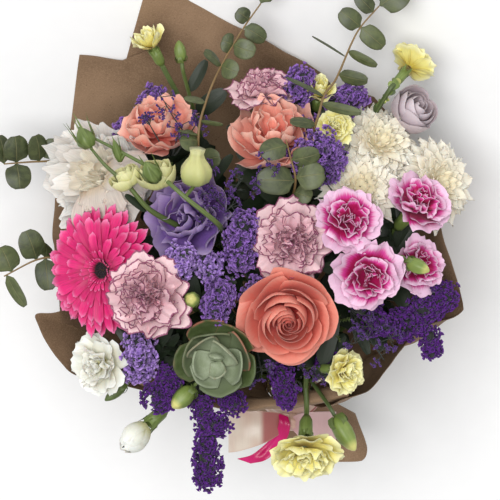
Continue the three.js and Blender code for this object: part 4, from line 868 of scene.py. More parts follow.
def add_petal(bm, shape, matrix, tone, inner, draw):
    """One petal: a grid bent along its layer's line, cupped, ruffled and wrapped round the axis."""
    loose = shape["spread"]
    start = Vector(shape["start"])
    rim = Vector(shape["rim"]) * (1 + draw.uniform(-1, 1) * loose)
    rim.y += draw.uniform(-0.6, 0.6) * loose
    chord = rim - start
    outward = Vector((chord.y, -chord.x)).normalized()
    bulge = shape["belly"] + draw.uniform(-0.4, 0.4) * loose
    control = (start + rim) / 2 + outward * 2 * bulge * chord.length
    widest = shape["half"] * (1 + draw.uniform(-1, 1) * loose)
    roll = math.radians(shape["roll"]) * draw.uniform(-1, 1)
    sway = draw.uniform(-1, 1) * loose * widest
    seed = draw.uniform(0, 90)

    def place(u, v):
        across = 2 * u - 1
        v = 1 - (1 - v) ** shape["ease"]
        uneven = shape["ragged"] * noise.noise(Vector((across * 2.2, seed, 3.0)))
        tooth = shape["teeth"] * noise.noise(Vector((across * 13, seed, 7.0)))
        reach = v * (1 - shape["corner"] * across * across) + (uneven * 1.6 + tooth) * v**3
        point = start * (1 - reach) ** 2 + control * 2 * (1 - reach) * reach + rim * reach * reach
        slope = ((control - start) * (1 - reach) + (rim - control) * reach).normalized()
        half = widest * petal_width(shape, v)
        ruffle = noise.noise(Vector((across * shape["waves"], v * 1.2, seed)))
        lift = shape["cup"] * across * across * half + shape["ruffle"] * 2 * v * v * ruffle
        lift -= shape["lip"] * max(0, v - 0.6) ** 2 * 6
        side = across * half + sway * v * v
        turned = roll * v
        beside = side * math.cos(turned) - lift * math.sin(turned)
        raised = side * math.sin(turned) + lift * math.cos(turned)
        point = point + Vector((-slope.y, slope.x)) * raised
        radius = point.x + shape["spiral"] * across * shape["rim"][0]
        angle = shape["wrap"] * beside / max(abs(point.x), 0.04)
        flat = (1 - shape["wrap"]) * beside
        x = radius * math.cos(angle) - flat * math.sin(angle)
        y = radius * math.sin(angle) + flat * math.cos(angle)
        return matrix @ Vector((x, y, point.y))

    bent_grid(bm, shape["columns"], shape["rows"], place, tone, inner)


def add_bloom(bm, form, matrix, draw):
    """The petals of a bloom, layer by layer, each whole layer turned by a random angle."""
    layers = FORMS[form]
    to_picture = math.atan2(matrix[1][0], matrix[0][0])
    for k, shape in enumerate(layers):
        inner = k / (len(layers) - 1)
        low, high = (math.radians(a) - to_picture for a in shape["arc"])
        whole = high - low > TAU - 0.01
        first = draw.uniform(0, TAU) if whole else low
        part = new_mesh()
        for i in range(shape["count"]):
            jitter = draw.uniform(-1, 1) * shape["spread"] * 2.2
            gaps = shape["count"] if whole else shape["count"] - 1
            turn = first + (high - low) * (i + jitter) / gaps
            spun = matrix @ Matrix.Rotation(turn, 4, "Z")
            tone = draw.random() * 0.98 if whole else draw.uniform(0.99, 1.0)
            add_petal(part, shape, spun, tone, inner, draw)
        add_mesh(bm, part)


def bloom_place(x, y, lift, lean, heading):
    """A bloom's centre and axis: its lean in degrees and the way it leans in the picture."""
    lean, heading = math.radians(lean), math.radians(heading)
    axis = Vector(
        (math.sin(lean) * math.cos(heading), math.sin(lean) * math.sin(heading), math.cos(lean))
    )
    return Vector((x, y, dome_at(x, y) + lift)), axis


# The blooms: form, finish, place in the face and lift above its dome, lean and heading, and size.
BLOOMS = {
    "rosette": ("rosette", "succulent_leaf", (-29, -94, 10), (22, 250), 33),
    "rose": ("rose", "rose_petal", (32, -60, 10), (22, 275), 37),
    "carnation_left": ("carnation", "variegated_petal", (-87, -39, 20), (18, 200), 36),
    "spray_carnation_1": ("small_carnation", "magenta_petal", (83, 27, 10), (12, 40), 27),
    "spray_carnation_3": ("small_carnation", "magenta_petal", (100, -22, 12), (14, 320), 30),
    "carnation_middle": ("carnation", "variegated_petal", (35, 7, -8), (8, 330), 35),
    "gerbera": ("gerbera", "gerbera_petal", (-124, -17, -8), (36, 184), 52),
    "spray_carnation_2": ("small_carnation", "magenta_petal", (144, 42, 14), (44, 48), 28),
    "spray_carnation_4": ("small_carnation", "magenta_petal", (143, -12, -2), (34, 10), 24),
    "peach_rose_middle": ("wavy", "peach_petal", (19, 102, 2), (42, 95), 34),
    "lisianthus": ("wavy", "lisianthus_petal", (-57, 27, -10), (26, 168), 34),
    "peach_rose_left": ("wavy", "peach_petal", (-79, 110, -2), (48, 105), 29),
    "peony": ("peony", "cream_petal", (-125, 60, -20), (24, 172), 48),
    "chrysanthemum_middle": ("chrysanthemum", "chrysanthemum_petal", (92, 53, -16), (14, 60), 32),
    "chrysanthemum_top": ("chrysanthemum", "chrysanthemum_petal", (108, 90, -14), (34, 52), 34),
    "chrysanthemum_right": ("chrysanthemum", "chrysanthemum_petal", (158, 56, -4), (40, 15), 35),
    "carnation_top": ("carnation", "variegated_petal", (11, 136, -12), (68, 92), 30),
    "mauve_rose": ("half_open", "mauve_petal", (138, 118, 6), (48, 40), 18),
    "white_carnation": ("small_carnation", "white_petal", (-129, -97, 6), (40, 195), 26),
    "white_bud": ("pointed", "white_petal", (-94, -154, 6), (74, 222), 12),
    "yellow_top_left": ("recurved", "yellow_petal", (-85, 176, 24), (72, 118), 9),
    "yellow_top_right": ("small_carnation", "yellow_petal", (139, 160, 54), (124, 50), 20),
    "yellow_back": ("small_carnation", "yellow_petal", (72, 104, 8), (26, 60), 15),
    "yellow_back_small": ("recurved", "yellow_petal", (58, 134, 0), (44, 80), 9),
    "yellow_front_right": ("small_carnation", "yellow_petal", (82, -102, -2), (46, 352), 20),
    "yellow_front": ("small_carnation", "yellow_petal", (46, -175, 26), (48, 268), 29),
}


def make_blooms():
    for number, (name, (form, finish, at, tilt, size)) in enumerate(BLOOMS.items()):
        draw = random.Random(100 + number)
        centre, axis = bloom_place(*at, *tilt)
        matrix = facing(axis, centre) @ Matrix.Scale(size, 4)
        bm = new_mesh()
        add_bloom(bm, form, matrix, draw)
        wall = FLESHY_THICKNESS if form == "rosette" else PETAL_THICKNESS
        finish_piece(name + "_petals", bm, PETALS[finish], [name], wall)


# The rings of the gerbera's eye, at a radius of one: how far out, how many florets and how tall.
DISC_RINGS = (
    (0.02, 5, 0.05), (0.045, 14, 0.055), (0.07, 20, 0.07), (0.1, 26, 0.085), (0.125, 34, 0.1),
)


def make_gerbera_disc():
    """The dark eye of the gerbera: rings of small florets round a low middle."""
    _, _, at, tilt, size = BLOOMS["gerbera"]
    centre, axis = bloom_place(*at, *tilt)
    matrix = facing(axis, centre)
    draw = random.Random(7)
    bm = new_mesh()
    for radius, count, tall in DISC_RINGS:
        for i in range(count):
            angle = TAU * (i + draw.uniform(-0.3, 0.3)) / count
            out = Vector((math.cos(angle), math.sin(angle), 0))
            foot = out * radius * size + Vector((0, 0, -0.06 * size))
            lean = facing(out * 0.4 + Vector((0, 0, 1)), foot)
            top = tall * size * draw.uniform(0.85, 1.1)
            profile = [(0, 0), (0.6, 0.3), (0.7, top * 0.7), (0.4, top), (0, top)]
            add_lathe(bm, matrix @ lean, profile, 5, draw.random(), radius * 8)
    finish_piece(
        "gerbera_disc_florets", bm, GERBERA_DISC, ["gerbera_disc"], sewn=True
    )


# Statice: its finish, the foot that its stalks share, and its heads, packed with small papery
# florets. A head gives where it starts and ends, its radius, how far it is dropped and how far the
# middle of its stalk is bent aside.
STATICE = {
    "statice_drooping": (
        "deep_violet", (-46, -96, -84),
        [
            (-66, -112, -58, -76, -124, -56, 12, 0, 0),
            (-68, -104, -60, -66, -122, -60, 9, 0, 0),
            (-39, -129, -64, -40, -133, -64, 9, 0, 0),
            (-36, -147, -68, -24, -146, -66, 8.5, 0, 0),
            (-33, -157, -70, -37, -161, -70, 9, 0, 0),
            (-37, -172, -73, -35, -190, -76, 11, 0, 0),
            (-20, -122, -62, -14, -128, -60, 9.5, 0, 0),
        ],
    ),
    "statice_lavender": (
        "lavender", (-78, -78, -78),
        [
            (-92, -80, -52, -92, -90, -50, 12, 6, 10),
            (-86, -98, -62, -98, -102, -60, 9, 0, 10),
        ],
    ),
    "statice_middle": (
        "violet", (-6, -14, -56),
        [
            (-8, -6, -14, -6, 20, -10, 13, -6, 10),
            (-24, -34, -16, -30, -50, -14, 11, 0, 0),
            (4, -36, -18, 12, -32, -16, 11, -18, 0),
        ],
    ),
    "statice_lilac": (
        "lavender", (-50, -14, -62),
        [
            (-62, -14, -16, -56, -6, -14, 12, 6, 10),
            (-36, -10, -20, -34, -18, -18, 9, 0, 0),
        ],
    ),
    "statice_back_middle": (
        "violet", (44, 40, -78),
        [
            (44, 76, -24, 60, 84, -24, 15, 6, -10),
            (64, 66, -28, 72, 76, -28, 10, 0, 0),
            (52, 92, -40, 50, 104, -40, 9, -6, 0),
        ],
    ),
    "statice_back_right": (
        "violet", (50, 96, -96),
        [(36, 132, -56, 44, 142, -56, 12, 0, 10), (72, 122, -58, 88, 128, -62, 11, 0, 0)],
    ),
    "statice_left_back": (
        "violet", (-84, 72, -92),
        [(-109, 97, -60, -104, 105, -62, 7, -12, 0), (-88, 116, -62, -80, 129, -64, 8, -16, 0)],
    ),
    "statice_right": (
        "deep_violet", (110, -40, -104),
        [
            (146, -46, -72, 160, -40, -74, 14, 0, 0),
            (124, -62, -72, 140, -62, -76, 12, 0, 0),
            (104, -58, -56, 112, -64, -54, 10, 0, 0),
            (150, -72, -86, 152, -84, -90, 8, 0, 0),
        ],
    ),
    "statice_front": (
        "deep_violet", (14, -96, -104),
        [(27, -104, -62, 30, -124, -64, 9, 0, 0), (66, -86, -62, 60, -96, -60, 10, -18, 0)],
    ),
}
FLORET_RADIUS = 1.9
FLORET_SPACING = 5.0  # square millimetres of a head for each floret
FLORETS_AT_ONCE = 40
PAST_THE_ENDS = 0.35  # how far beyond each end of its line a head goes, as a share of the line
STALK = {"tone": 0.2, "inner": 0.99}  # the woody parts in the florets' finish


def add_floret(bm, at, axis, radius, length, draw):
    """A papery cup with a crimped rim."""
    matrix = facing(axis, at, draw.uniform(0, TAU))
    sides = 5
    rim = [draw.uniform(0.65, 1.3) for _ in range(sides)]

    def place(u, v):
        side = round(u * sides) % sides
        out = radius * (0.1 + 0.9 * v) * (rim[side] if v > 0.9 else 1)
        up = length * v * (1.15 - 0.35 * rim[side])
        return matrix @ Vector((out * math.cos(TAU * u), out * math.sin(TAU * u), up))

    bent_grid(bm, sides, 2, place, draw.random(), 0.3)


def add_florets(bm, rows, draw):
    """Many florets, each row its place, its axis and its radius."""
    for first in range(0, len(rows), FLORETS_AT_ONCE):
        part = new_mesh()
        for at, axis, radius in rows[first : first + FLORETS_AT_ONCE]:
            add_floret(part, at, axis, radius, radius * 1.6, draw)
        add_mesh(bm, part)


def head_spot(start, end, side, radius, draw):
    """Where a floret stands on a head's lumpy surface, and the way that it faces."""
    along = (end - start).normalized()
    share = draw.uniform(-PAST_THE_ENDS, 1 + PAST_THE_ENDS)
    rolled = Matrix.Rotation(draw.uniform(0, TAU), 3, along) @ side
    past = max(0.0, share - 1, -share) / PAST_THE_ENDS
    out = rolled * math.sqrt(max(0.0, 1 - past * past))
    cap = along * (past if share > 1 else -past if share < 0 else 0)
    normal = (out + cap).normalized()
    heart = start.lerp(end, min(max(share, 0), 1))
    lump = noise.noise(heart * 0.16 + rolled * 2.4)
    at = heart + normal * radius * (0.7 + 0.75 * lump + draw.uniform(-0.08, 0.16))
    return at, normal + any_way(draw, 0.7)


def add_head(bm, base, head, draw):
    """A head of statice on its stalk, its florets all over a lumpy, rounded core along the head's
    line.
    """
    *ends, radius, drop, aside = head
    start, end = Vector(ends[:3]), Vector(ends[3:])
    start.z += drop
    end.z += drop
    middle = base.lerp(start, 0.5) + Vector((aside, 0.5 * aside, -6))
    length = (end - start).length
    along = (end - start).normalized()
    side = along.orthogonal().normalized()
    cap = along * radius * 0.7

    def core_radius(share):
        return radius * (0.5 if 0.1 < share < 0.9 else 0.25)

    part = new_mesh()
    add_tube(part, [base, middle, start, end], tapered(1.3, 0.8), 6, 10, **STALK)
    add_tube(part, [start - cap, start, end, end + cap], core_radius, 8, 10, **STALK)
    rows = []
    area = TAU * radius * (length + radius * 1.4)
    for _ in range(int(area / FLORET_SPACING)):
        at, lean = head_spot(start, end, side, radius, draw)
        rows.append((at, lean, FLORET_RADIUS * draw.uniform(0.7, 1.25)))
    add_florets(part, rows, draw)
    bmesh.ops.remove_doubles(part, verts=part.verts, dist=SEAM)
    add_mesh(bm, part)


def make_statice():
    for number, (name, (finish, foot, heads)) in enumerate(STATICE.items()):
        draw = random.Random(300 + number)
        bm = new_mesh()
        for head in heads:
            add_head(bm, Vector(foot), head, draw)
        finish_piece(name + "_heads", bm, FLORETS[finish], [name])


# Haze: fine branched sprays of small florets, each from its foot to its tips. The last value of a
# tip bends its branch aside.
HAZE = {
    "haze_left": (
        (-66, 74, -64),
        [(-74, 128, -14, 16), (-58, 104, -14, 0), (-40, 112, -28, 0), (-88, 112, -4, 0)],
    ),
    "haze_middle": (
        (-30, 24, -66),
        [(-32, 48, -6, 16), (-40, 66, -8, 8), (-6, 60, -12, 0), (-14, 38, -10, 0), (-34, 30, 0, 0)],
    ),
    "haze_top": ((22, 44, -70), [(14, 74, 2, 0), (60, 70, -8, 24), (4, 52, -8, 0)]),
    "haze_right": (
        (84, -50, -84),
        [
            (88, -78, -40, 0), (104, -66, -36, 0), (112, -92, -52, 0), (94, -54, -30, 0),
            (120, -76, -46, 0),
        ],
    ),
    "haze_front": ((4, -74, -92), [(10, -104, -34, 0), (-4, -112, -44, 0), (58, -108, -60, 0)]),
}
HAZE_FORKS = 7
HAZE_TUFT = 9  # florets on a fork
HAZE_WIRES = 0.4  # the share of florets that have a wire of their own


def add_haze_tip(bm, base, tip, aside, draw):
    """A wiry branch that forks again and again, each fork ending in a flat tuft of florets."""
    part = new_mesh()
    middle = base.lerp(tip, 0.55) + Vector((aside, -0.6 * aside, 4 if aside else 0))
    fork = middle.lerp(tip, 0.5)
    add_tube(part, [base, middle, fork, tip], tapered(0.8, 0.4), 5, 10, **STALK)
    rows = []
    for _ in range(HAZE_FORKS):
        way = (draw.uniform(-1, 1), draw.uniform(-0.7, 1), draw.uniform(0.1, 0.8))
        out = Vector(way).normalized()
        start = fork.lerp(tip, draw.uniform(0, 1))
        end = start + out * draw.uniform(6, 11)
        add_tube(part, [start, start.lerp(end, 0.5), end], tapered(0.35, 0.35), 4, 3, **STALK)
        flat = out.orthogonal().normalized()
        for _ in range(HAZE_TUFT):
            spun = Matrix.Rotation(draw.uniform(0, TAU), 3, out) @ flat
            spot = end + spun * draw.uniform(0, 4.2) + out * draw.uniform(-0.8, 0.8)
            rows.append((spot, out + spun * draw.uniform(0, 0.8), draw.uniform(0.9, 1.5)))
            if draw.random() < HAZE_WIRES:
                add_tube(part, [end - out * 2.5, end, spot], tapered(0.25, 0.25), 4, 2, **STALK)
    add_florets(part, rows, draw)
    bmesh.ops.remove_doubles(part, verts=part.verts, dist=SEAM)
    add_mesh(bm, part)


def make_haze():
    for number, (name, (foot, tips)) in enumerate(HAZE.items()):
        draw = random.Random(400 + number)
        bm = new_mesh()
        for *tip, aside in tips:
            add_haze_tip(bm, Vector(foot), Vector(tip), aside, draw)
        finish_piece(name + "_florets", bm, FLORETS["haze"], [name])


# Sprigs of eucalyptus: a stem line, then each leaf's middle, its width, how far it stands forward
# and how far it is turned away, in degrees.
SPRIGS = {
    "eucalyptus_top_left": (
        [(-42, 50, -44), (-43, 96, -20), (-37, 123, -28), (-26, 150, -40), (-7, 183, -54),
         (9, 206, -62)],
        [
            (-51, 91, 20, 4, 10), (-34, 76, 18, 6, 0), (-46, 125, 11, 0, 55), (-31, 160, 12, 4, 50),
            (-17, 151, 17, 4, 20), (-19, 173, 17, 2, 0), (-5, 168, 17, 2, 20), (4, 181, 15, -2, 0),
            (-6, 196, 14, 2, 0), (14, 218, 17, 0, 0), (-52, 98, 5, 4, 50), (-32, 106, 5, 4, 50),
        ],
    ),
    "eucalyptus_top_right": (
        [(46, 78, -40), (57, 112, -16), (62, 129, -30), (72, 143, -42), (85, 173, -52),
         (93, 187, -56), (108, 204, -62)],
        [
            (44, 106, 10, 4, 20), (86, 144, 13, 2, 35), (94, 160, 9, 0, 40), (66, 170, 4, 0, 60),
            (84, 193, 17, 2, 0), (102, 178, 17, -2, 10), (96, 206, 14, 2, 0), (120, 212, 26, 0, 0),
            (46, 136, 7, 6, 50), (76, 118, 9, 6, 30),
        ],
    ),
    "eucalyptus_left_upper": (
        [(-112, 66, -116), (-150, 74, -104), (-178, 74, -92), (-206, 72, -88)],
        [
            (-165, 84, 19, 2, 0), (-178, 85, 20, 4, 20), (-196, 84, 22, 4, 0), (-194, 62, 22, 2, 0),
            (-208, 84, 18, 0, 20),
        ],
    ),
    "eucalyptus_left_lower": (
        [(-130, -20, -110), (-160, -8, -100), (-178, -8, -96), (-206, -22, -96)],
        [
            (-183, 4, 22, 4, 0), (-170, -20, 20, 2, 10), (-172, 0, 18, -4, 30),
            (-196, -34, 12, 2, 40), (-204, -8, 22, 0, 0),
        ],
    ),
    "eucalyptus_middle": (
        [(34, 38, -46), (38, 58, -8), (34, 76, -2), (30, 92, 4)],
        [
            (50, 62, 24, 2, 0), (22, 58, 24, 2, 0), (46, 78, 18, 2, 25), (20, 84, 19, 2, 10),
            (44, 46, 17, 2, 10),
        ],
    ),
}


TWIG_STEPS = 40


def add_leaf(bm, root, middle, width, turned, draw, inner=0.3):
    """A leaf from its root on the stem, through its middle, a little arched and folded."""
    reach = middle - root
    across = reach.cross(Vector((0.15, 0.1, 1))).normalized()
    across = Matrix.Rotation(math.radians(turned), 3, reach.normalized()) @ across
    arch = reach.cross(across).normalized()
    fold = draw.uniform(0.06, 0.2)
    twist = draw.uniform(-0.3, 0.3)

    def place(u, v):
        side = 2 * u - 1
        round_off = (1 - abs(2 * v - 1.04) ** 2.6 / 1.11) if v > 0.02 else 0.0
        half = 0.5 * width * max(round_off, 0.0) ** 0.6 * (1.06 - 0.12 * v)
        if v < 0.14:
            half = min(half, 0.6 + v * 22)
        bend = -0.12 * width * math.sin(math.pi * v) + fold * abs(side) * half
        bend += twist * side * half * v
        return root + reach * 2 * v + across * side * half + arch * bend

    bent_grid(bm, 8, 12, place, draw.random(), inner)


def make_sprigs():
    for number, (name, (line, leaves)) in enumerate(SPRIGS.items()):
        draw = random.Random(500 + number)
        points = [Vector(p) for p in line]
        along = along_curve(points, TWIG_STEPS)
        blades = new_mesh()
        for x, y, width, forward, turned in leaves:
            root = min(along, key=lambda p: math.hypot(p.x - x, p.y - y))
            add_leaf(blades, root, Vector((x, y, root.z + forward)), width, turned, draw)
        finish_piece(name + "_leaves", blades, LEAF, [name], LEAF_THICKNESS)
        twig = new_mesh()
        add_tube(twig, points, tapered(1.3, 0.6), 7, TWIG_STEPS, 0.9, 0.95)
        finish_piece(name + "_twig", twig, STEM, [name], sewn=True)


# The gathered buds of the lisianthus: their branched stem, then each one's foot, tip and radius.
LISIANTHUS_LINE = [
    (-24, 14, -60), (-27, 22, 6), (-54, 44, 24), (-80, 66, 14), (-108, 82, 4), (-136, 96, -4),
]
SIDE_BRANCH = [(-60, 20, -30), (-84, 34, -6), (-102, 54, 2), (-120, 70, 2), (-132, 84, -2)]
MAIN_STEPS, SIDE_STEPS = 40, 30
PEAR_BUD = ((-46, 54, 14), (-44, 84, 24), 13)
PEAR_PROFILE = [  # shares of its radius and of its length
    (0, -0.03), (0.5, 0.02), (0.85, 0.12), (1, 0.28), (0.96, 0.45), (0.72, 0.62), (0.5, 0.74),
    (0.42, 0.86), (0.5, 1.0), (0.3, 0.9), (0, 0.8),
]
OPENING_BUDS = [((-76, 52, 4), (-80, 72, 12), 15), ((-99, 53, 0), (-108, 66, 6), 11.5)]
SPIKED_BUDS = [  # and the length of the sepals
    ((-108, 74, 2), (-113, 90, 6), 3.6, 24),
    ((-133, 86, -2), (-141, 100, 0), 8, 30),
    ((-78, 58, 24), (-86, 71, 34), 8, 25),
]


def add_sepals(bm, matrix, radius, length, count, draw, tone=0.5):
    """Narrow green points that stand round a bud."""
    for i in range(count):
        turn = matrix @ Matrix.Rotation(TAU * i / count + draw.uniform(-0.2, 0.2), 4, "Z")
        curl = draw.uniform(0.0, 0.5)
        reach = length * draw.uniform(0.75, 1.1)

        def place(u, v):
            out = radius * (0.5 + 0.56 * math.sin(min(v * 3, 1) * math.pi / 2) + curl * v * v)
            half = 0.24 * radius * (1 - v) + 0.16
            return turn @ Vector((out, (2 * u - 1) * half, reach * v))

        bent_grid(bm, 2, 8, place, tone, 0.3)


def add_pear_bud(lime, green, foot, tip, radius, draw):
    """A swollen bud, drawn in below its open rim."""
    matrix = facing(tip - foot, foot)
    length = (tip - foot).length
    profile = [(out * radius, up * length) for out, up in PEAR_PROFILE]
    add_lathe(lime, matrix, profile, 36, 0.5, 0.4, 5, 0.08)
    add_sepals(green, matrix, radius * 0.7, length * 0.4, 5, draw)


def add_opening_bud(lime, green, foot, tip, radius, draw):
    """A bud whose petals begin to open."""
    matrix = facing(tip - foot, foot.lerp(tip, 0.6)) @ Matrix.Scale(radius, 4)
    add_bloom(lime, "half_open", matrix, draw)
    add_sepals(green, facing(tip - foot, foot), radius * 0.6, radius * 1.3, 5, draw)


def add_spiked_bud(green, foot, tip, radius, sepals, draw):
    """A slim ribbed bud among long sepals."""
    matrix = facing(tip - foot, foot)
    body = (tip - foot).length
    profile = [
        (0, -1), (radius * 0.6, 0), (radius, body * 0.35), (radius * 0.9, body * 0.65),
        (radius * 0.5, body * 0.95), (0, body * 1.2),
    ]
    add_lathe(green, matrix, profile, 20, 0.45, 0.2, 5, 0.1)
    add_sepals(green, matrix, radius, sepals, 6, draw)


def make_lisianthus_buds():
    draw = random.Random(600)
    line = [Vector(p) for p in LISIANTHUS_LINE]
    branch = [Vector(p) for p in SIDE_BRANCH]
    green = new_mesh()
    lime = new_mesh()
    add_tube(green, line, tapered(2.6, 1.2), 8, MAIN_STEPS, 0.35, 0.3)
    add_tube(green, branch, tapered(2.6, 1.2), 8, SIDE_STEPS, 0.3, 0.3)
    nodes = along_curve(line, MAIN_STEPS) + along_curve(branch, SIDE_STEPS)

    def add_stalk(foot, radius):
        near = min(nodes, key=lambda p: (p - foot).length)
        way = [near, near.lerp(foot, 0.6), foot]
        add_tube(green, way, tapered(radius, radius), 7, 6, 0.4, 0.3)

    foot, tip, radius = PEAR_BUD
    foot, tip = Vector(foot), Vector(tip)
    add_stalk(foot, 1.6)
    add_pear_bud(lime, green, foot, tip, radius, draw)
    for foot, tip, radius in OPENING_BUDS:
        foot, tip = Vector(foot), Vector(tip)
        add_stalk(foot, 1.6)
        add_opening_bud(lime, green, foot, tip, radius, draw)
    for foot, tip, radius, sepals in SPIKED_BUDS:
        foot, tip = Vector(foot), Vector(tip)
        add_stalk(foot, 1.5)
        add_spiked_bud(green, foot, tip, radius, sepals, draw)
    # This leaf's inner of 0 gives it the near-black green that is partly painted shade.
    add_leaf(green, Vector((-86, 32, -8)), Vector((-95, 39, -2)), 7, 20, draw, 0.0)
    name = "lisianthus_buds"
    finish_piece(name + "_petals", lime, LIME, [name], PETAL_THICKNESS)
    finish_piece(name + "_green", green, STEM, [name], sewn=True)


# Stems: what each carries and, where it carries more than one thing, where it forks.
STEMS = [
    (["gerbera"], None),
    (["peony"], None),
    (["rose"], None),
    (["rosette"], None),
    (["carnation_left", "bud_by_carnation"], (-40, -54, -96)),
    (["carnation_middle"], None),
    (["carnation_top"], None),
    (["spray_carnation_1", "spray_carnation_3"], (70, -22, -104)),
    (["spray_carnation_2", "spray_carnation_4", "bud_on_spray"], (100, -16, -118)),
    (["peach_rose_middle", "peach_rose_left"], (-14, 54, -130)),
    (["lisianthus", "lisianthus_buds"], (-22, -14, -110)),
    (["chrysanthemum_middle", "chrysanthemum_top", "chrysanthemum_right"], (84, 22, -120)),
    (
        ["white_carnation", "white_bud", "bud_behind_white", "bud_pointed", "bud_low_left"],
        (-44, -98, -128),
    ),
    (["yellow_top_left", "bud_top"], (-44, 100, -116)),
    (["yellow_top_right", "yellow_back", "yellow_back_small", "mauve_rose"], (70, 56, -128)),
    (["yellow_front", "bud_low_right", "yellow_front_right"], (46, -100, -104)),
    (["eucalyptus_left_upper", "eucalyptus_left_lower", "eucalyptus_top_left"], (-58, -4, -140)),
    (["eucalyptus_top_right", "eucalyptus_middle"], (38, 26, -120)),
    (["statice_drooping", "statice_lavender", "statice_front"], (-18, -86, -136)),
    (["statice_middle", "statice_lilac"], (0, -20, -110)),
    (["statice_back_middle", "statice_back_right"], (44, 20, -140)),
    (["statice_left_back", "haze_left"], (-40, 40, -130)),
    (["statice_right"], None),
    (["haze_middle", "haze_top", "haze_right", "haze_front"], (20, -30, -140)),
]
BENT_ASIDE = {"bud_on_spray": (-12.7, -12.7, 0), "white_bud": (6, 0, 0)}
ROOTS = {  # the underside of each form of bloom: its radius and its height
    "gerbera": (0.2, -0.24), "peony": (0.24, -0.56), "rose": (0.24, -1.1), "wavy": (0.2, -0.95),
    "carnation": (0.18, -0.72), "small_carnation": (0.2, -0.76), "chrysanthemum": (0.2, -0.46),
    "rosette": (0.24, -0.56), "half_open": (0.4, -0.9), "recurved": (0.4, -0.9),
    "pointed": (0.4, -0.9),
}
CUPS = {  # the green cup under a bloom: its radius and its length
    "rose": (0.22, 0.2), "wavy": (0.2, 0.3), "carnation": (0.17, 0.62),
    "small_carnation": (0.2, 0.8), "half_open": (0.5, 1.0), "recurved": (0.5, 1.7),
    "pointed": (0.5, 1.7),
}
BUDS = {  # foot, direction, radius, length and tone
    "bud_by_carnation": ((-48, -42, -8), (-0.1, 0.1, 1), 6.6, 15, 0.9),
    "bud_low_left": ((-48, -115, -52), (-0.7, -0.7, 0.3), 8, 25, 0.86),
    "bud_behind_white": ((-91, -91, -62), (-0.5, 0.2, 0.8), 6, 14, 0.6),
    "bud_pointed": ((-104, -113, -76), (-0.8, -0.6, 0.1), 4.6, 22, 0.3),
    "bud_top": ((-57, 157, -78), (-0.15, 1, 0.2), 5, 19, 0.7),
    "bud_on_spray": ((131, -10, -22), (0.86, -0.36, 0.4), 6.3, 22, 0.82),
    "bud_low_right": ((71, -139, -84), (0.5, -0.86, 0.1), 8.2, 34, 0.86),
}
STRAIGHT_BELOW = {"cup": 14, "rest": 9}  # how far a branch runs straight before its end
STEM_RADII = [STEM_RADIUS, STEM_RADIUS, TIED_RADIUS, TIED_RADIUS, 2.4, 2.2, 2.2, 2.2]
LEAVES_ON_BRANCH = 13
SCALES_ON_BRANCH = 22
SCALED_BRANCHES = ["yellow_top_right"]
LEAFLETS_ON_FROND = 34
FERN_TIPS = [  # a feathery sprig beside the rosette: where each frond starts and ends
    ((-30, -84, -96), (-60, -88, -34)), ((-30, -84, -96), (-50, -104, -40)),
    ((-30, -84, -96), (-44, -74, -30)), ((-34, -92, -96), (-62, -106, -50)),
    ((60, -58, -100), (84, -58, -46)), ((60, -58, -100), (76, -76, -50)),
]


def bundle_places(count):
    """Places in the bundle: one in the middle, then rings of six, twelve and more round it."""
    found = [(0.0, 0.0)]
    ring = 1
    while len(found) < count:
        places = []
        for i in range(6 * ring):
            side, along = divmod(i, ring)
            start = side * math.pi / 3
            end = start + 2 * math.pi / 3
            x = math.cos(start) * ring + math.cos(end) * along
            y = math.sin(start) * ring + math.sin(end) * along
            places.append((x * STEM_SPACING, y * STEM_SPACING))
        wanted = min(len(places), count - len(found))
        found += [places[i * len(places) // wanted] for i in range(wanted)]
        ring += 1
    return found


def at_tie(place, along, splay=1.0, twist=0.0):
    return round_tie(math.atan2(*place) + twist, math.hypot(*place) * splay, along)


def bundle_order(goals):
    """Gives each stem the place in its ring of the bundle that best suits the way it leaves."""
    places = bundle_places(len(goals))

    def spread(i):
        out = goals[i] - TIE
        return (out - STEM_LINE * out.dot(STEM_LINE)).length

    order = sorted(range(len(goals)), key=spread)
    chosen = [None] * len(goals)
    ring, first = 0, 0
    while first < len(order):
        count = min(6 * ring if ring else 1, len(order) - first)
        members = sorted(order[first : first + count], key=lambda i: angle_round_tie(goals[i]))
        free = sorted(places[first : first + count], key=lambda p: math.atan2(*p))
        for i, place in zip(members, free):
            chosen[i] = place
        first += count
        ring += 1
    return chosen


def spray_foot(name):
    """Where a spray's own stem starts, and which way it goes."""
    if name in STATICE:
        foot, then = STATICE[name][1], STATICE[name][2][0][:3]
    elif name in HAZE:
        foot, then = HAZE[name][0], HAZE[name][1][0][:3]
    elif name in SPRIGS:
        foot, then = SPRIGS[name][0][:2]
    else:
        foot, then = LISIANTHUS_LINE[:2]
    return Vector(foot), (Vector(then) - Vector(foot)).normalized()


def add_cup(bm, top, axis, radius, length, draw):
    """The green cup under a bloom, with its five points."""
    foot = top - axis * length
    matrix = facing(axis, foot, draw.uniform(0, TAU))
    profile = [
        (0, -0.5), (radius * 0.55, 0), (radius * 0.95, length * 0.25), (radius, length * 0.6),
        (radius * 1.05, length), (radius * 0.8, length), (radius * 0.6, length * 0.8),
    ]
    add_lathe(bm, matrix, profile, 15, 0.62, 0.2, 5, 0.05)
    for i in range(5):
        turn = matrix @ Matrix.Rotation(TAU * i / 5, 4, "Z")

        def place(u, v):
            half = radius * 0.5 * (1 - v) ** 0.8 + 0.1
            out = radius * (1.02 + 0.35 * v * v)
            return turn @ Vector((out, (2 * u - 1) * half, length * (0.8 + 0.45 * v)))

        bent_grid(bm, 4, 4, place, 0.6, 0.3)


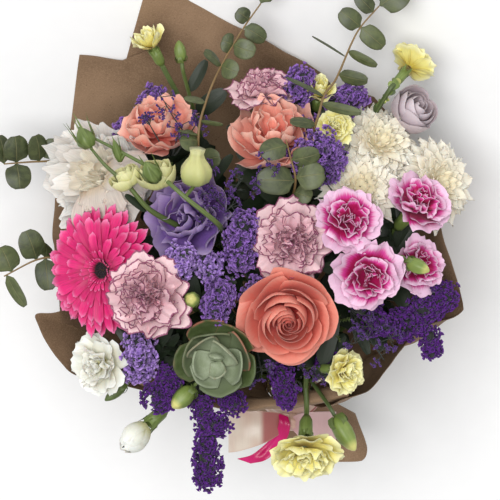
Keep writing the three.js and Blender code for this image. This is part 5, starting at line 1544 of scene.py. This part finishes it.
def add_bud(bm, foot, axis, radius, length, tone, draw):
    """A closed green bud with folded ribs and four sepals round its lower part."""
    matrix = facing(axis, foot, draw.uniform(0, TAU))
    profile = [
        (0, -0.5), (radius * 0.55, length * 0.06), (radius * 0.9, length * 0.22),
        (radius, length * 0.45), (radius * 0.9, length * 0.65), (radius * 0.6, length * 0.84),
        (radius * 0.25, length * 0.96), (0, length),
    ]
    add_lathe(bm, matrix, profile, 20, tone, 0.2, 5, 0.07)
    for i in range(4):
        turn = matrix @ Matrix.Rotation(TAU * i / 4, 4, "Z")

        def place(u, v):
            half = radius * 0.55 * (1 - v) ** 0.7 + 0.1
            out = radius * (0.62 + 0.42 * math.sin(math.pi * min(v * 1.1, 1)))
            return turn @ Vector((out, (2 * u - 1) * half, length * 0.42 * v))

        bent_grid(bm, 4, 4, place, 0.45, 0.3)


def inside_wrap(point):
    """Whether a leaf's point is behind the blooms, above the table and within the paper."""
    if point.z > dome_at(point.x, point.y) - 16 or point.z < table_at(point.y) + 3:
        return False
    out = point - TIE
    along = out.dot(STEM_LINE)
    return (out - STEM_LINE * along).length < 16 + along * 0.62 and point.y > -116


def add_stem_leaves(bm, branch, draw):
    """Narrow leaves along a branch, which fill the wrap behind the blooms; their near-black green
    is partly painted shade.
    """
    for _ in range(LEAVES_ON_BRANCH):
        share = draw.uniform(0.2, 1.0)
        root = on_curve(branch, share)
        ahead, behind = on_curve(branch, min(share + 0.05, 1)), on_curve(branch, share - 0.05)
        along = (ahead - behind).normalized()
        for _ in range(4):
            out = any_way(draw)
            out = (out - along * out.dot(along)).normalized() + along * draw.uniform(0.2, 1.0)
            middle = root + out.normalized() * draw.uniform(14, 24)
            if inside_wrap(root) and inside_wrap(middle * 2 - root):
                add_leaf(bm, root, middle, draw.uniform(9, 18), draw.uniform(-30, 30), draw, 0.0)
                break


def add_fronds(bm, draw):
    """Feathery fronds of needle-thin leaflets."""
    for foot, tip in FERN_TIPS:
        foot, tip = Vector(foot), Vector(tip)
        line = [foot, foot.lerp(tip, 0.5) + Vector((0, 0, 6)), tip]
        add_tube(bm, line, tapered(0.8, 0.3), 5, 12, 0.2, 0.3)
        for i in range(LEAFLETS_ON_FROND):
            share = 0.45 + 0.55 * i / LEAFLETS_ON_FROND
            root = on_curve(line, share)
            out = any_way(draw).normalized() + (tip - root).normalized() * 0.5
            end = root + out * 7 * (1.2 - share)
            leaflet = [root, root.lerp(end, 0.5), end]
            add_tube(bm, leaflet, tapered(0.45, 0.15), 4, 2, 0.35, 0.3)


def add_scales(bm, branch, draw):
    """Small pointed scale leaves that overlap along the top of a branch."""
    for i in range(SCALES_ON_BRANCH):
        root = on_curve(branch, 0.5 + 0.42 * i / SCALES_ON_BRANCH)
        out = any_way(draw).normalized()
        ahead = (branch[-1] - root).normalized()
        middle = root + out * 2.4 + ahead * 3.2
        add_leaf(bm, root, middle, draw.uniform(4, 6.5), draw.uniform(-40, 40), draw)


def carried(name):
    """The foot and axis of what a stem carries."""
    if name in BLOOMS:
        form, _, at, tilt, size = BLOOMS[name]
        centre, axis = bloom_place(*at, *tilt)
        radius, height = ROOTS[form]
        foot = centre + axis * ((height - radius * 0.35) * size - CLEARANCE * 1.4)
        return foot, axis
    if name in BUDS:
        at, point, *_ = BUDS[name]
        return Vector(at), Vector(point).normalized()
    return spray_foot(name)


def add_end(bm, name, foot, axis, draw):
    """The cup or the bud at the end of a branch. Gives where the branch itself ends, and how far
    it runs straight before that."""
    if name in BUDS:
        add_bud(bm, foot, axis, *BUDS[name][2:], draw)
    elif name in BLOOMS and BLOOMS[name][0] in CUPS:
        form, _, _, _, size = BLOOMS[name]
        radius, length = (share * size for share in CUPS[form])
        add_cup(bm, foot, axis, radius, length, draw)
        return foot - axis * length * 0.8, STRAIGHT_BELOW["cup"]
    return foot - axis * CLEARANCE, STRAIGHT_BELOW["rest"]


def stem_radius(share):
    """How thick a whole stem is at a share of its way from its cut end to its bloom."""
    place = share * (len(STEM_RADII) - 1)
    i = min(int(place), len(STEM_RADII) - 2)
    return STEM_RADII[i] + (STEM_RADII[i + 1] - STEM_RADII[i]) * (place - i)


def make_stems():
    draw = random.Random(700)
    bm = new_mesh()
    goals = [Vector(fork) if fork else carried(names[0])[0] for names, fork in STEMS]
    for (names, fork), spot in zip(STEMS, bundle_order(goals)):
        mouth = at_tie(spot, PINCH_LENGTH, PINCH_SPLAY, -PINCH_TWIST)
        lower = [
            at_tie(spot, -HANDLE_LENGTH, HANDLE_SPLAY, HANDLE_TWIST),
            at_tie(spot, -PINCH_LENGTH, PINCH_SPLAY, PINCH_TWIST),
            at_tie(spot, 0),
            mouth,
        ]
        for k, name in enumerate(names):
            foot, axis = carried(name)
            seat, straight = add_end(bm, name, foot, axis, draw)
            below = seat - axis * straight
            joint = Vector(fork) if fork else mouth.lerp(below, 0.4)
            start = joint - (joint - mouth).normalized() * BRANCH_STEP * k
            bent = start.lerp(below, 0.5) + Vector(BENT_ASIDE.get(name, (0, 0, 0)))
            branch = [start, bent, below, seat]
            tone = draw.uniform(0.1, 0.5)
            leaves = new_mesh()
            add_stem_leaves(leaves, branch, draw)
            if name in SCALED_BRANCHES:
                add_scales(leaves, branch, draw)
            add_mesh(bm, leaves)
            if k:
                add_tube(bm, branch, tapered(BRANCH_RADIUS, BRANCH_RADIUS), 8, 20, tone, 0.3)
            else:
                add_tube(bm, lower + branch, stem_radius, 10, 70, tone, 0.3)
    fronds = new_mesh()
    add_fronds(fronds, draw)
    add_mesh(bm, fronds)
    finish_piece("stems_and_cups", bm, STEM, ["stems"], sewn=True)


# The wrap: spines run from the paper's tail through the tie to its rim.
def laying_spine(layer_number, rim, knee):
    """A spine that goes down to the table at its knee and then lies on it, up to its rim. A third
    value lifts its rim or its knee off the table."""
    rim_x, rim_y, rim_lift = (*rim, 0)[:3]
    knee_x, knee_y, knee_lift = (*knee, 0)[:3]
    edge = Vector((rim_x, rim_y, table_at(rim_y) + rim_lift))
    bend = Vector((knee_x, knee_y, table_at(knee_y) + knee_lift))
    angle = angle_round_tie(bend)
    inset = layer_number * LAYER_STEP
    neck = round_tie(angle, PAPER_NECK - inset, 0)
    outward = round_tie(angle, 1, 0) - TIE
    halfway = bend.lerp(edge, 0.5)
    halfway.z = table_at(halfway.y) + knee_lift + 0.25 * (rim_lift - knee_lift)
    return [
        round_tie(angle, TAIL_RADIUS - inset, -TAIL_LENGTH),
        neck,
        neck.lerp(bend, 0.5) - outward * inset,
        bend,
        halfway,
        edge,
    ]


def standing_spine(layer_number, rim, belly, wide_tail=0):
    """A spine that stands up from the tie, a little bellied, to its rim."""
    edge = Vector(rim)
    angle = angle_round_tie(edge)
    inset = layer_number * LAYER_STEP
    neck = round_tie(angle, PAPER_NECK - inset, 0)
    outward = round_tie(angle, 1, 0) - TIE
    tail = [round_tie(angle, (wide_tail or TAIL_RADIUS) - inset, -TAIL_LENGTH)]
    if wide_tail:
        tail.append(round_tie(angle, HELD_RADIUS - inset, HELD_ALONG))
    rise = [
        neck.lerp(edge, share) + outward * belly * math.sin(math.pi * share)
        for share in (0.25, 0.5, 0.75)
    ]
    return [*tail, neck, *rise, edge]


def lip_spine(layer_number, rim, belly):
    """A standing spine whose rim is rolled inward."""
    rolled = [Vector((rim[0] * 0.98, rim[1] + y, rim[2] + z)) for y, z in ((8, -2), (11, -10))]
    return standing_spine(layer_number, rim, belly) + rolled


WRAP = {
    "wrap_back": [
        laying_spine(0, (-104, 160), (-26, 18)),
        laying_spine(0, (-82, 230), (-14, 22)),
        laying_spine(0, (-50, 208), (0, 24)),
        laying_spine(0, (-15, 190), (14, 26)),
        laying_spine(0, (20, 172, 8), (28, 26)),
        laying_spine(0, (60, 148, 14), (42, 24)),
        laying_spine(0, (83, 121, 18), (54, 20)),
    ],
    "wrap_corner": [
        standing_spine(1, (-160, -50, -126), 6),
        laying_spine(1, (-166, 10, 40), (-92, -40, 16)),
        laying_spine(1, (-164, 50, 12), (-78, -18, 4)),
        laying_spine(1, (-153, 87), (-66, -2)),
        laying_spine(1, (-143, 164), (-48, 10)),
        laying_spine(1, (-107, 160, 2.8), (-30, 22, 2.8)),
        laying_spine(1, (-80, 170, 3), (-19, 29, 3.4)),
    ],
    "wrap_left": [
        standing_spine(0, (-84, -119, -112), 4),
        standing_spine(0, (-129, -108, -112), 6),
        standing_spine(0, (-154, -100, -113), 8),
        standing_spine(0, (-181, -57, -118), 8),
        standing_spine(0, (-163, -52, -128), 8),
    ],
    "wrap_front": [
        lip_spine(1, (78, -124, -104), 4),
        lip_spine(1, (32, -131, -108), 3),
        lip_spine(1, (-12, -134, -108), 3),
        lip_spine(1, (-50, -127, -108), 4),
        lip_spine(1, (-88, -114, -108), 4),
    ],
    "wrap_right_front": [
        standing_spine(0, (139, -68, -96), 8, 54),
        standing_spine(0, (112, -104, -96), 8, 72),
        standing_spine(0, (98, -119, -100), 6, 76),
        standing_spine(0, (73, -128, -106), 5, 62),
    ],
    "wrap_right": [
        laying_spine(1, (72, 128, 26), (44, 33, 3.4)),
        laying_spine(1, (104, 129, 20), (60, 15, 2.8)),
        laying_spine(1, (140, 84, 14), (86, -14, 4)),
        laying_spine(1, (154, 52, 50), (98, -40, 20)),
        standing_spine(1, (161, 18, -112), 10),
        standing_spine(1, (179, -50, -106), 10),
        standing_spine(1, (150, -63, -112), 8),
    ],
}
PAPER_MIDDLE = 0.6  # the sheet lies this far inside its outer line
LOWEST_MIDDLE = 0.4  # between the table and the middle of the paper
CRUMPLES = [(0.03, 2.4), (0.075, 0.8)]  # how fine each is, in turns a millimetre, and how deep
CRUMPLED_FROM = 0.3  # the share of a spine that stays smooth, and how fast the crumples grow then
CRUMPLE_GROWTH = 3
PAPER_ROWS = 60
COLUMNS_A_SPAN = 10
LAPS = {  # columns past its sides
    "wrap_left": (0, 3), "wrap_corner": (2, 0), "wrap_front": (1, 1), "wrap_right": (0, 3),
    "wrap_right_front": (2, 2),
}
SMOOTH_BEND = {
    "wrap_back": 0.5, "wrap_right": 0.5, "wrap_front": 1.0, "wrap_right_front": 0.8,
    "wrap_left": 0.9,
}


def on_fold(points, share, smooth):
    """A point on straight lines through points, or nearer their smooth curve where smooth is high.
    A share below 0 or above 1 carries the first or last line on."""
    last = len(points) - 1
    i = min(max(int(share * last), 0), last - 1)
    straight = points[i].lerp(points[i + 1], share * last - i)
    if not 0 <= share <= 1:
        return straight
    return straight.lerp(on_curve(points, share), smooth)


def make_wrap():
    for name, spines in WRAP.items():
        spans, rows = len(spines) - 1, PAPER_ROWS
        lines = [along_curve(spine, rows) for spine in spines]
        before, after = LAPS.get(name, (0, 0))
        columns = COLUMNS_A_SPAN * spans + before + after
        smooth = SMOOTH_BEND.get(name, 0.1)

        def middle(u, v):
            share = (u * columns - before) / (COLUMNS_A_SPAN * spans)
            return on_fold([line[round(v * rows)] for line in lines], share, smooth)

        def place(u, v):
            point = middle(u, v)
            step = 0.02
            across = middle(min(u + step, 1), v) - middle(max(u - step, 0), v)
            along = middle(u, min(v + 1 / rows, 1)) - middle(u, max(v - 1 / rows, 0))
            inward = across.cross(along).normalized()
            crumple = sum(noise.noise(point * fine) * deep for fine, deep in CRUMPLES)
            free = min(1, max(0.0, v - CRUMPLED_FROM) * CRUMPLE_GROWTH)
            moved = point + inward * (PAPER_MIDDLE + crumple * free)
            moved.z = max(moved.z, table_at(moved.y) + LOWEST_MIDDLE / SIN)
            return moved

        bm = new_mesh()
        bent_grid(bm, columns, rows, place)
        finish_piece(name + "_paper", bm, KRAFT, [name], PAPER_THICKNESS)


# Ribbons and twine
BAND = {"low": -15, "high": -1, "low_radius": 26.9, "high_radius": 23.9, "thickness": 0.5}
BAND_ROWS = 12
KNOT = {"out": 33, "along": -8, "radius": 8.5}
TWINE = {"radius": 1.2, "inside": 16.4, "turns": 2}
RIBBON_THICKNESS = 0.4
ACROSS_LOOPS = Vector((0, -0.98, -0.17)).normalized()
ACROSS_STRIP = Vector((-1, 0.35, 0)).normalized()
LEFT_LOOP = [
    (33, -144, -229, 6), (14, -149, -221, 13), (-6, -152, -222, 17), (-17, -153, -230, 18),
    (-16, -152, -236, 18), (-4, -151, -240, 17), (14, -149, -238, 13), (33, -144, -234, 6),
]
RIGHT_LOOP = [
    (36, -146, -229, 6), (46, -149, -223, 12), (60, -151, -224, 15), (71, -152, -229, 16),
    (71, -152, -234, 16), (60, -151, -238, 15), (46, -149, -238, 12), (36, -146, -234, 6),
]
PINK_STRIP = [
    (28, -139, -223.6, 4.4), (29, -147, -222, 5), (26, -157, -227, 5.4), (17, -167, -231, 6),
    (7, -175, -231, 6.4), (-5, -178, -236, 6),
]


def add_ribbon(bm, path, across, wave=0.0):
    """A strip of ribbon along a path, whose fourth value is half its width."""
    points = [Vector(row) for row in path]

    def place(u, v):
        at = on_curve(points, v)
        middle, half = Vector(at[:3]), at[3]
        side = 2 * u - 1
        sag = wave * math.sin(math.pi * 3 * u + v * 5) * math.sin(math.pi * v)
        return middle + across * side * half + Vector((0, 0, sag))

    bent_grid(bm, 10, 48, place)


def make_loop(name, path, finish):
    bm = new_mesh()
    add_ribbon(bm, path, ACROSS_LOOPS, 0.8)
    loop = finish_piece(name, bm, finish, ["ribbon"], RIBBON_THICKNESS)


def make_band(finish):
    """The ribbon's turn round the gathered paper, with shallow folds along it."""
    low, high = BAND["low"], BAND["high"]

    def wind(u, v):
        radius = BAND["low_radius"] + (BAND["high_radius"] - BAND["low_radius"]) * v + 0.5
        radius += 0.35 * math.sin(v * BAND_ROWS * 1.05 + math.sin(TAU * u) * 2)
        return round_tie(TAU * u, radius, low + (high - low) * v)

    bm = new_mesh()
    bent_grid(bm, 64, BAND_ROWS, wind)
    band = finish_piece(
        "ribbon_band", bm, finish, ["ribbon"], BAND["thickness"], sewn=True
    )


def make_knot(finish):
    bm = new_mesh()
    centre = round_tie(math.pi, KNOT["out"], KNOT["along"])
    bmesh.ops.create_icosphere(bm, subdivisions=3, radius=KNOT["radius"] * 0.85)
    for vert in bm.verts:
        folds = 1 + 0.1 * math.sin(vert.co.y * 1.3 + vert.co.x * 0.3)
        vert.co = centre + Vector((vert.co.x * 0.95, vert.co.y * 1.05, vert.co.z * 0.85)) * folds
    finish_piece("ribbon_knot", bm, finish, ["ribbon"])


def make_pink_strip(finish):
    bm = new_mesh()
    add_ribbon(bm, PINK_STRIP, ACROSS_STRIP, 0.6)
    strip = finish_piece(
        "ribbon_pink_strip", bm, finish, ["ribbon_hot_pink"], RIBBON_THICKNESS
    )


def make_ribbons():
    # Each satin: its lit colour, its shaded colour and, for the first, the colour of a band of
    # painted shade.
    satin = satin_finish("satin", (234, 220, 204), (214, 178, 160), (176, 104, 100))
    pale = satin_finish("pale_satin", (238, 208, 206), (216, 178, 178))
    pink = satin_finish("hot_pink_satin", (238, 24, 132), (196, 4, 92))
    make_loop("ribbon_left_loop", LEFT_LOOP, satin)
    make_loop("ribbon_right_loop", RIGHT_LOOP, pale)
    make_band(satin)
    make_knot(satin)
    make_pink_strip(pink)


def make_twine():
    """The turns of twisted twine that press the stems together, inside the paper."""
    bm = new_mesh()
    radius, inside, turns = TWINE["radius"], TWINE["inside"], TWINE["turns"]
    for k in range(turns):
        middle = (2 * k + 1 - turns) * radius

        def wind(u, v):
            angle = TAU * u
            out = inside + radius + radius * math.cos(angle)
            return round_tie(TAU * v, out, middle + radius * math.sin(angle))

        bent_grid(bm, 10, 48, wind)
    finish_piece("twine_turns", bm, twine_finish(), ["twine"], sewn=True)


def make_stage():
    """The pale floor, the soft lights and the camera that looks down into the flowers."""
    bm = bmesh.new()
    bmesh.ops.create_grid(bm, x_segments=8, y_segments=8, size=FLOOR_REACH)
    mesh = bpy.data.meshes.new("floor")
    bm.to_mesh(mesh)
    bm.free()
    floor = bpy.data.objects.new("floor", mesh)
    mesh.materials.append(floor_finish())
    bpy.context.scene.collection.objects.link(floor)

    world = bpy.data.worlds.new("studio")
    world.use_nodes = True
    sky = world.node_tree.nodes["Background"]
    sky.inputs["Color"].default_value = (1, 1, 1, 1)
    sky.inputs["Strength"].default_value = SKY_LIGHT
    bpy.context.scene.world = world
    bpy.context.scene.view_settings.view_transform = "Standard"

    metres = Matrix.Translation(TO_METRES.translation) @ FACE_TO_TABLE.to_3x3().to_4x4()
    light = bpy.data.lights.new("window", "SUN")
    light.energy = WINDOW_LIGHT
    light.angle = WINDOW_SPREAD
    lamp = bpy.data.objects.new("window", light)
    lamp.location = metres @ Vector(WINDOW_AT)
    aim = metres @ Vector((0, 0, 0)) - lamp.location
    lamp.rotation_euler = aim.to_track_quat("-Z", "Y").to_euler()
    bpy.context.scene.collection.objects.link(lamp)

    data = bpy.data.cameras.new("camera")
    data.sensor_width = SENSOR_WIDTH
    data.lens = SENSOR_WIDTH * CAMERA_DISTANCE / (PHOTO_WIDTH / PIXELS_PER_MM * MM)
    data.clip_end = 50
    camera = bpy.data.objects.new("camera", data)
    camera.matrix_world = metres @ Matrix.Translation((0, 0, CAMERA_DISTANCE))
    bpy.context.scene.collection.objects.link(camera)
    bpy.context.scene.camera = camera


make_stage()
make_wrap()
make_blooms()
make_gerbera_disc()
make_statice()
make_haze()
make_sprigs()
make_lisianthus_buds()
make_stems()
make_ribbons()
make_twine()
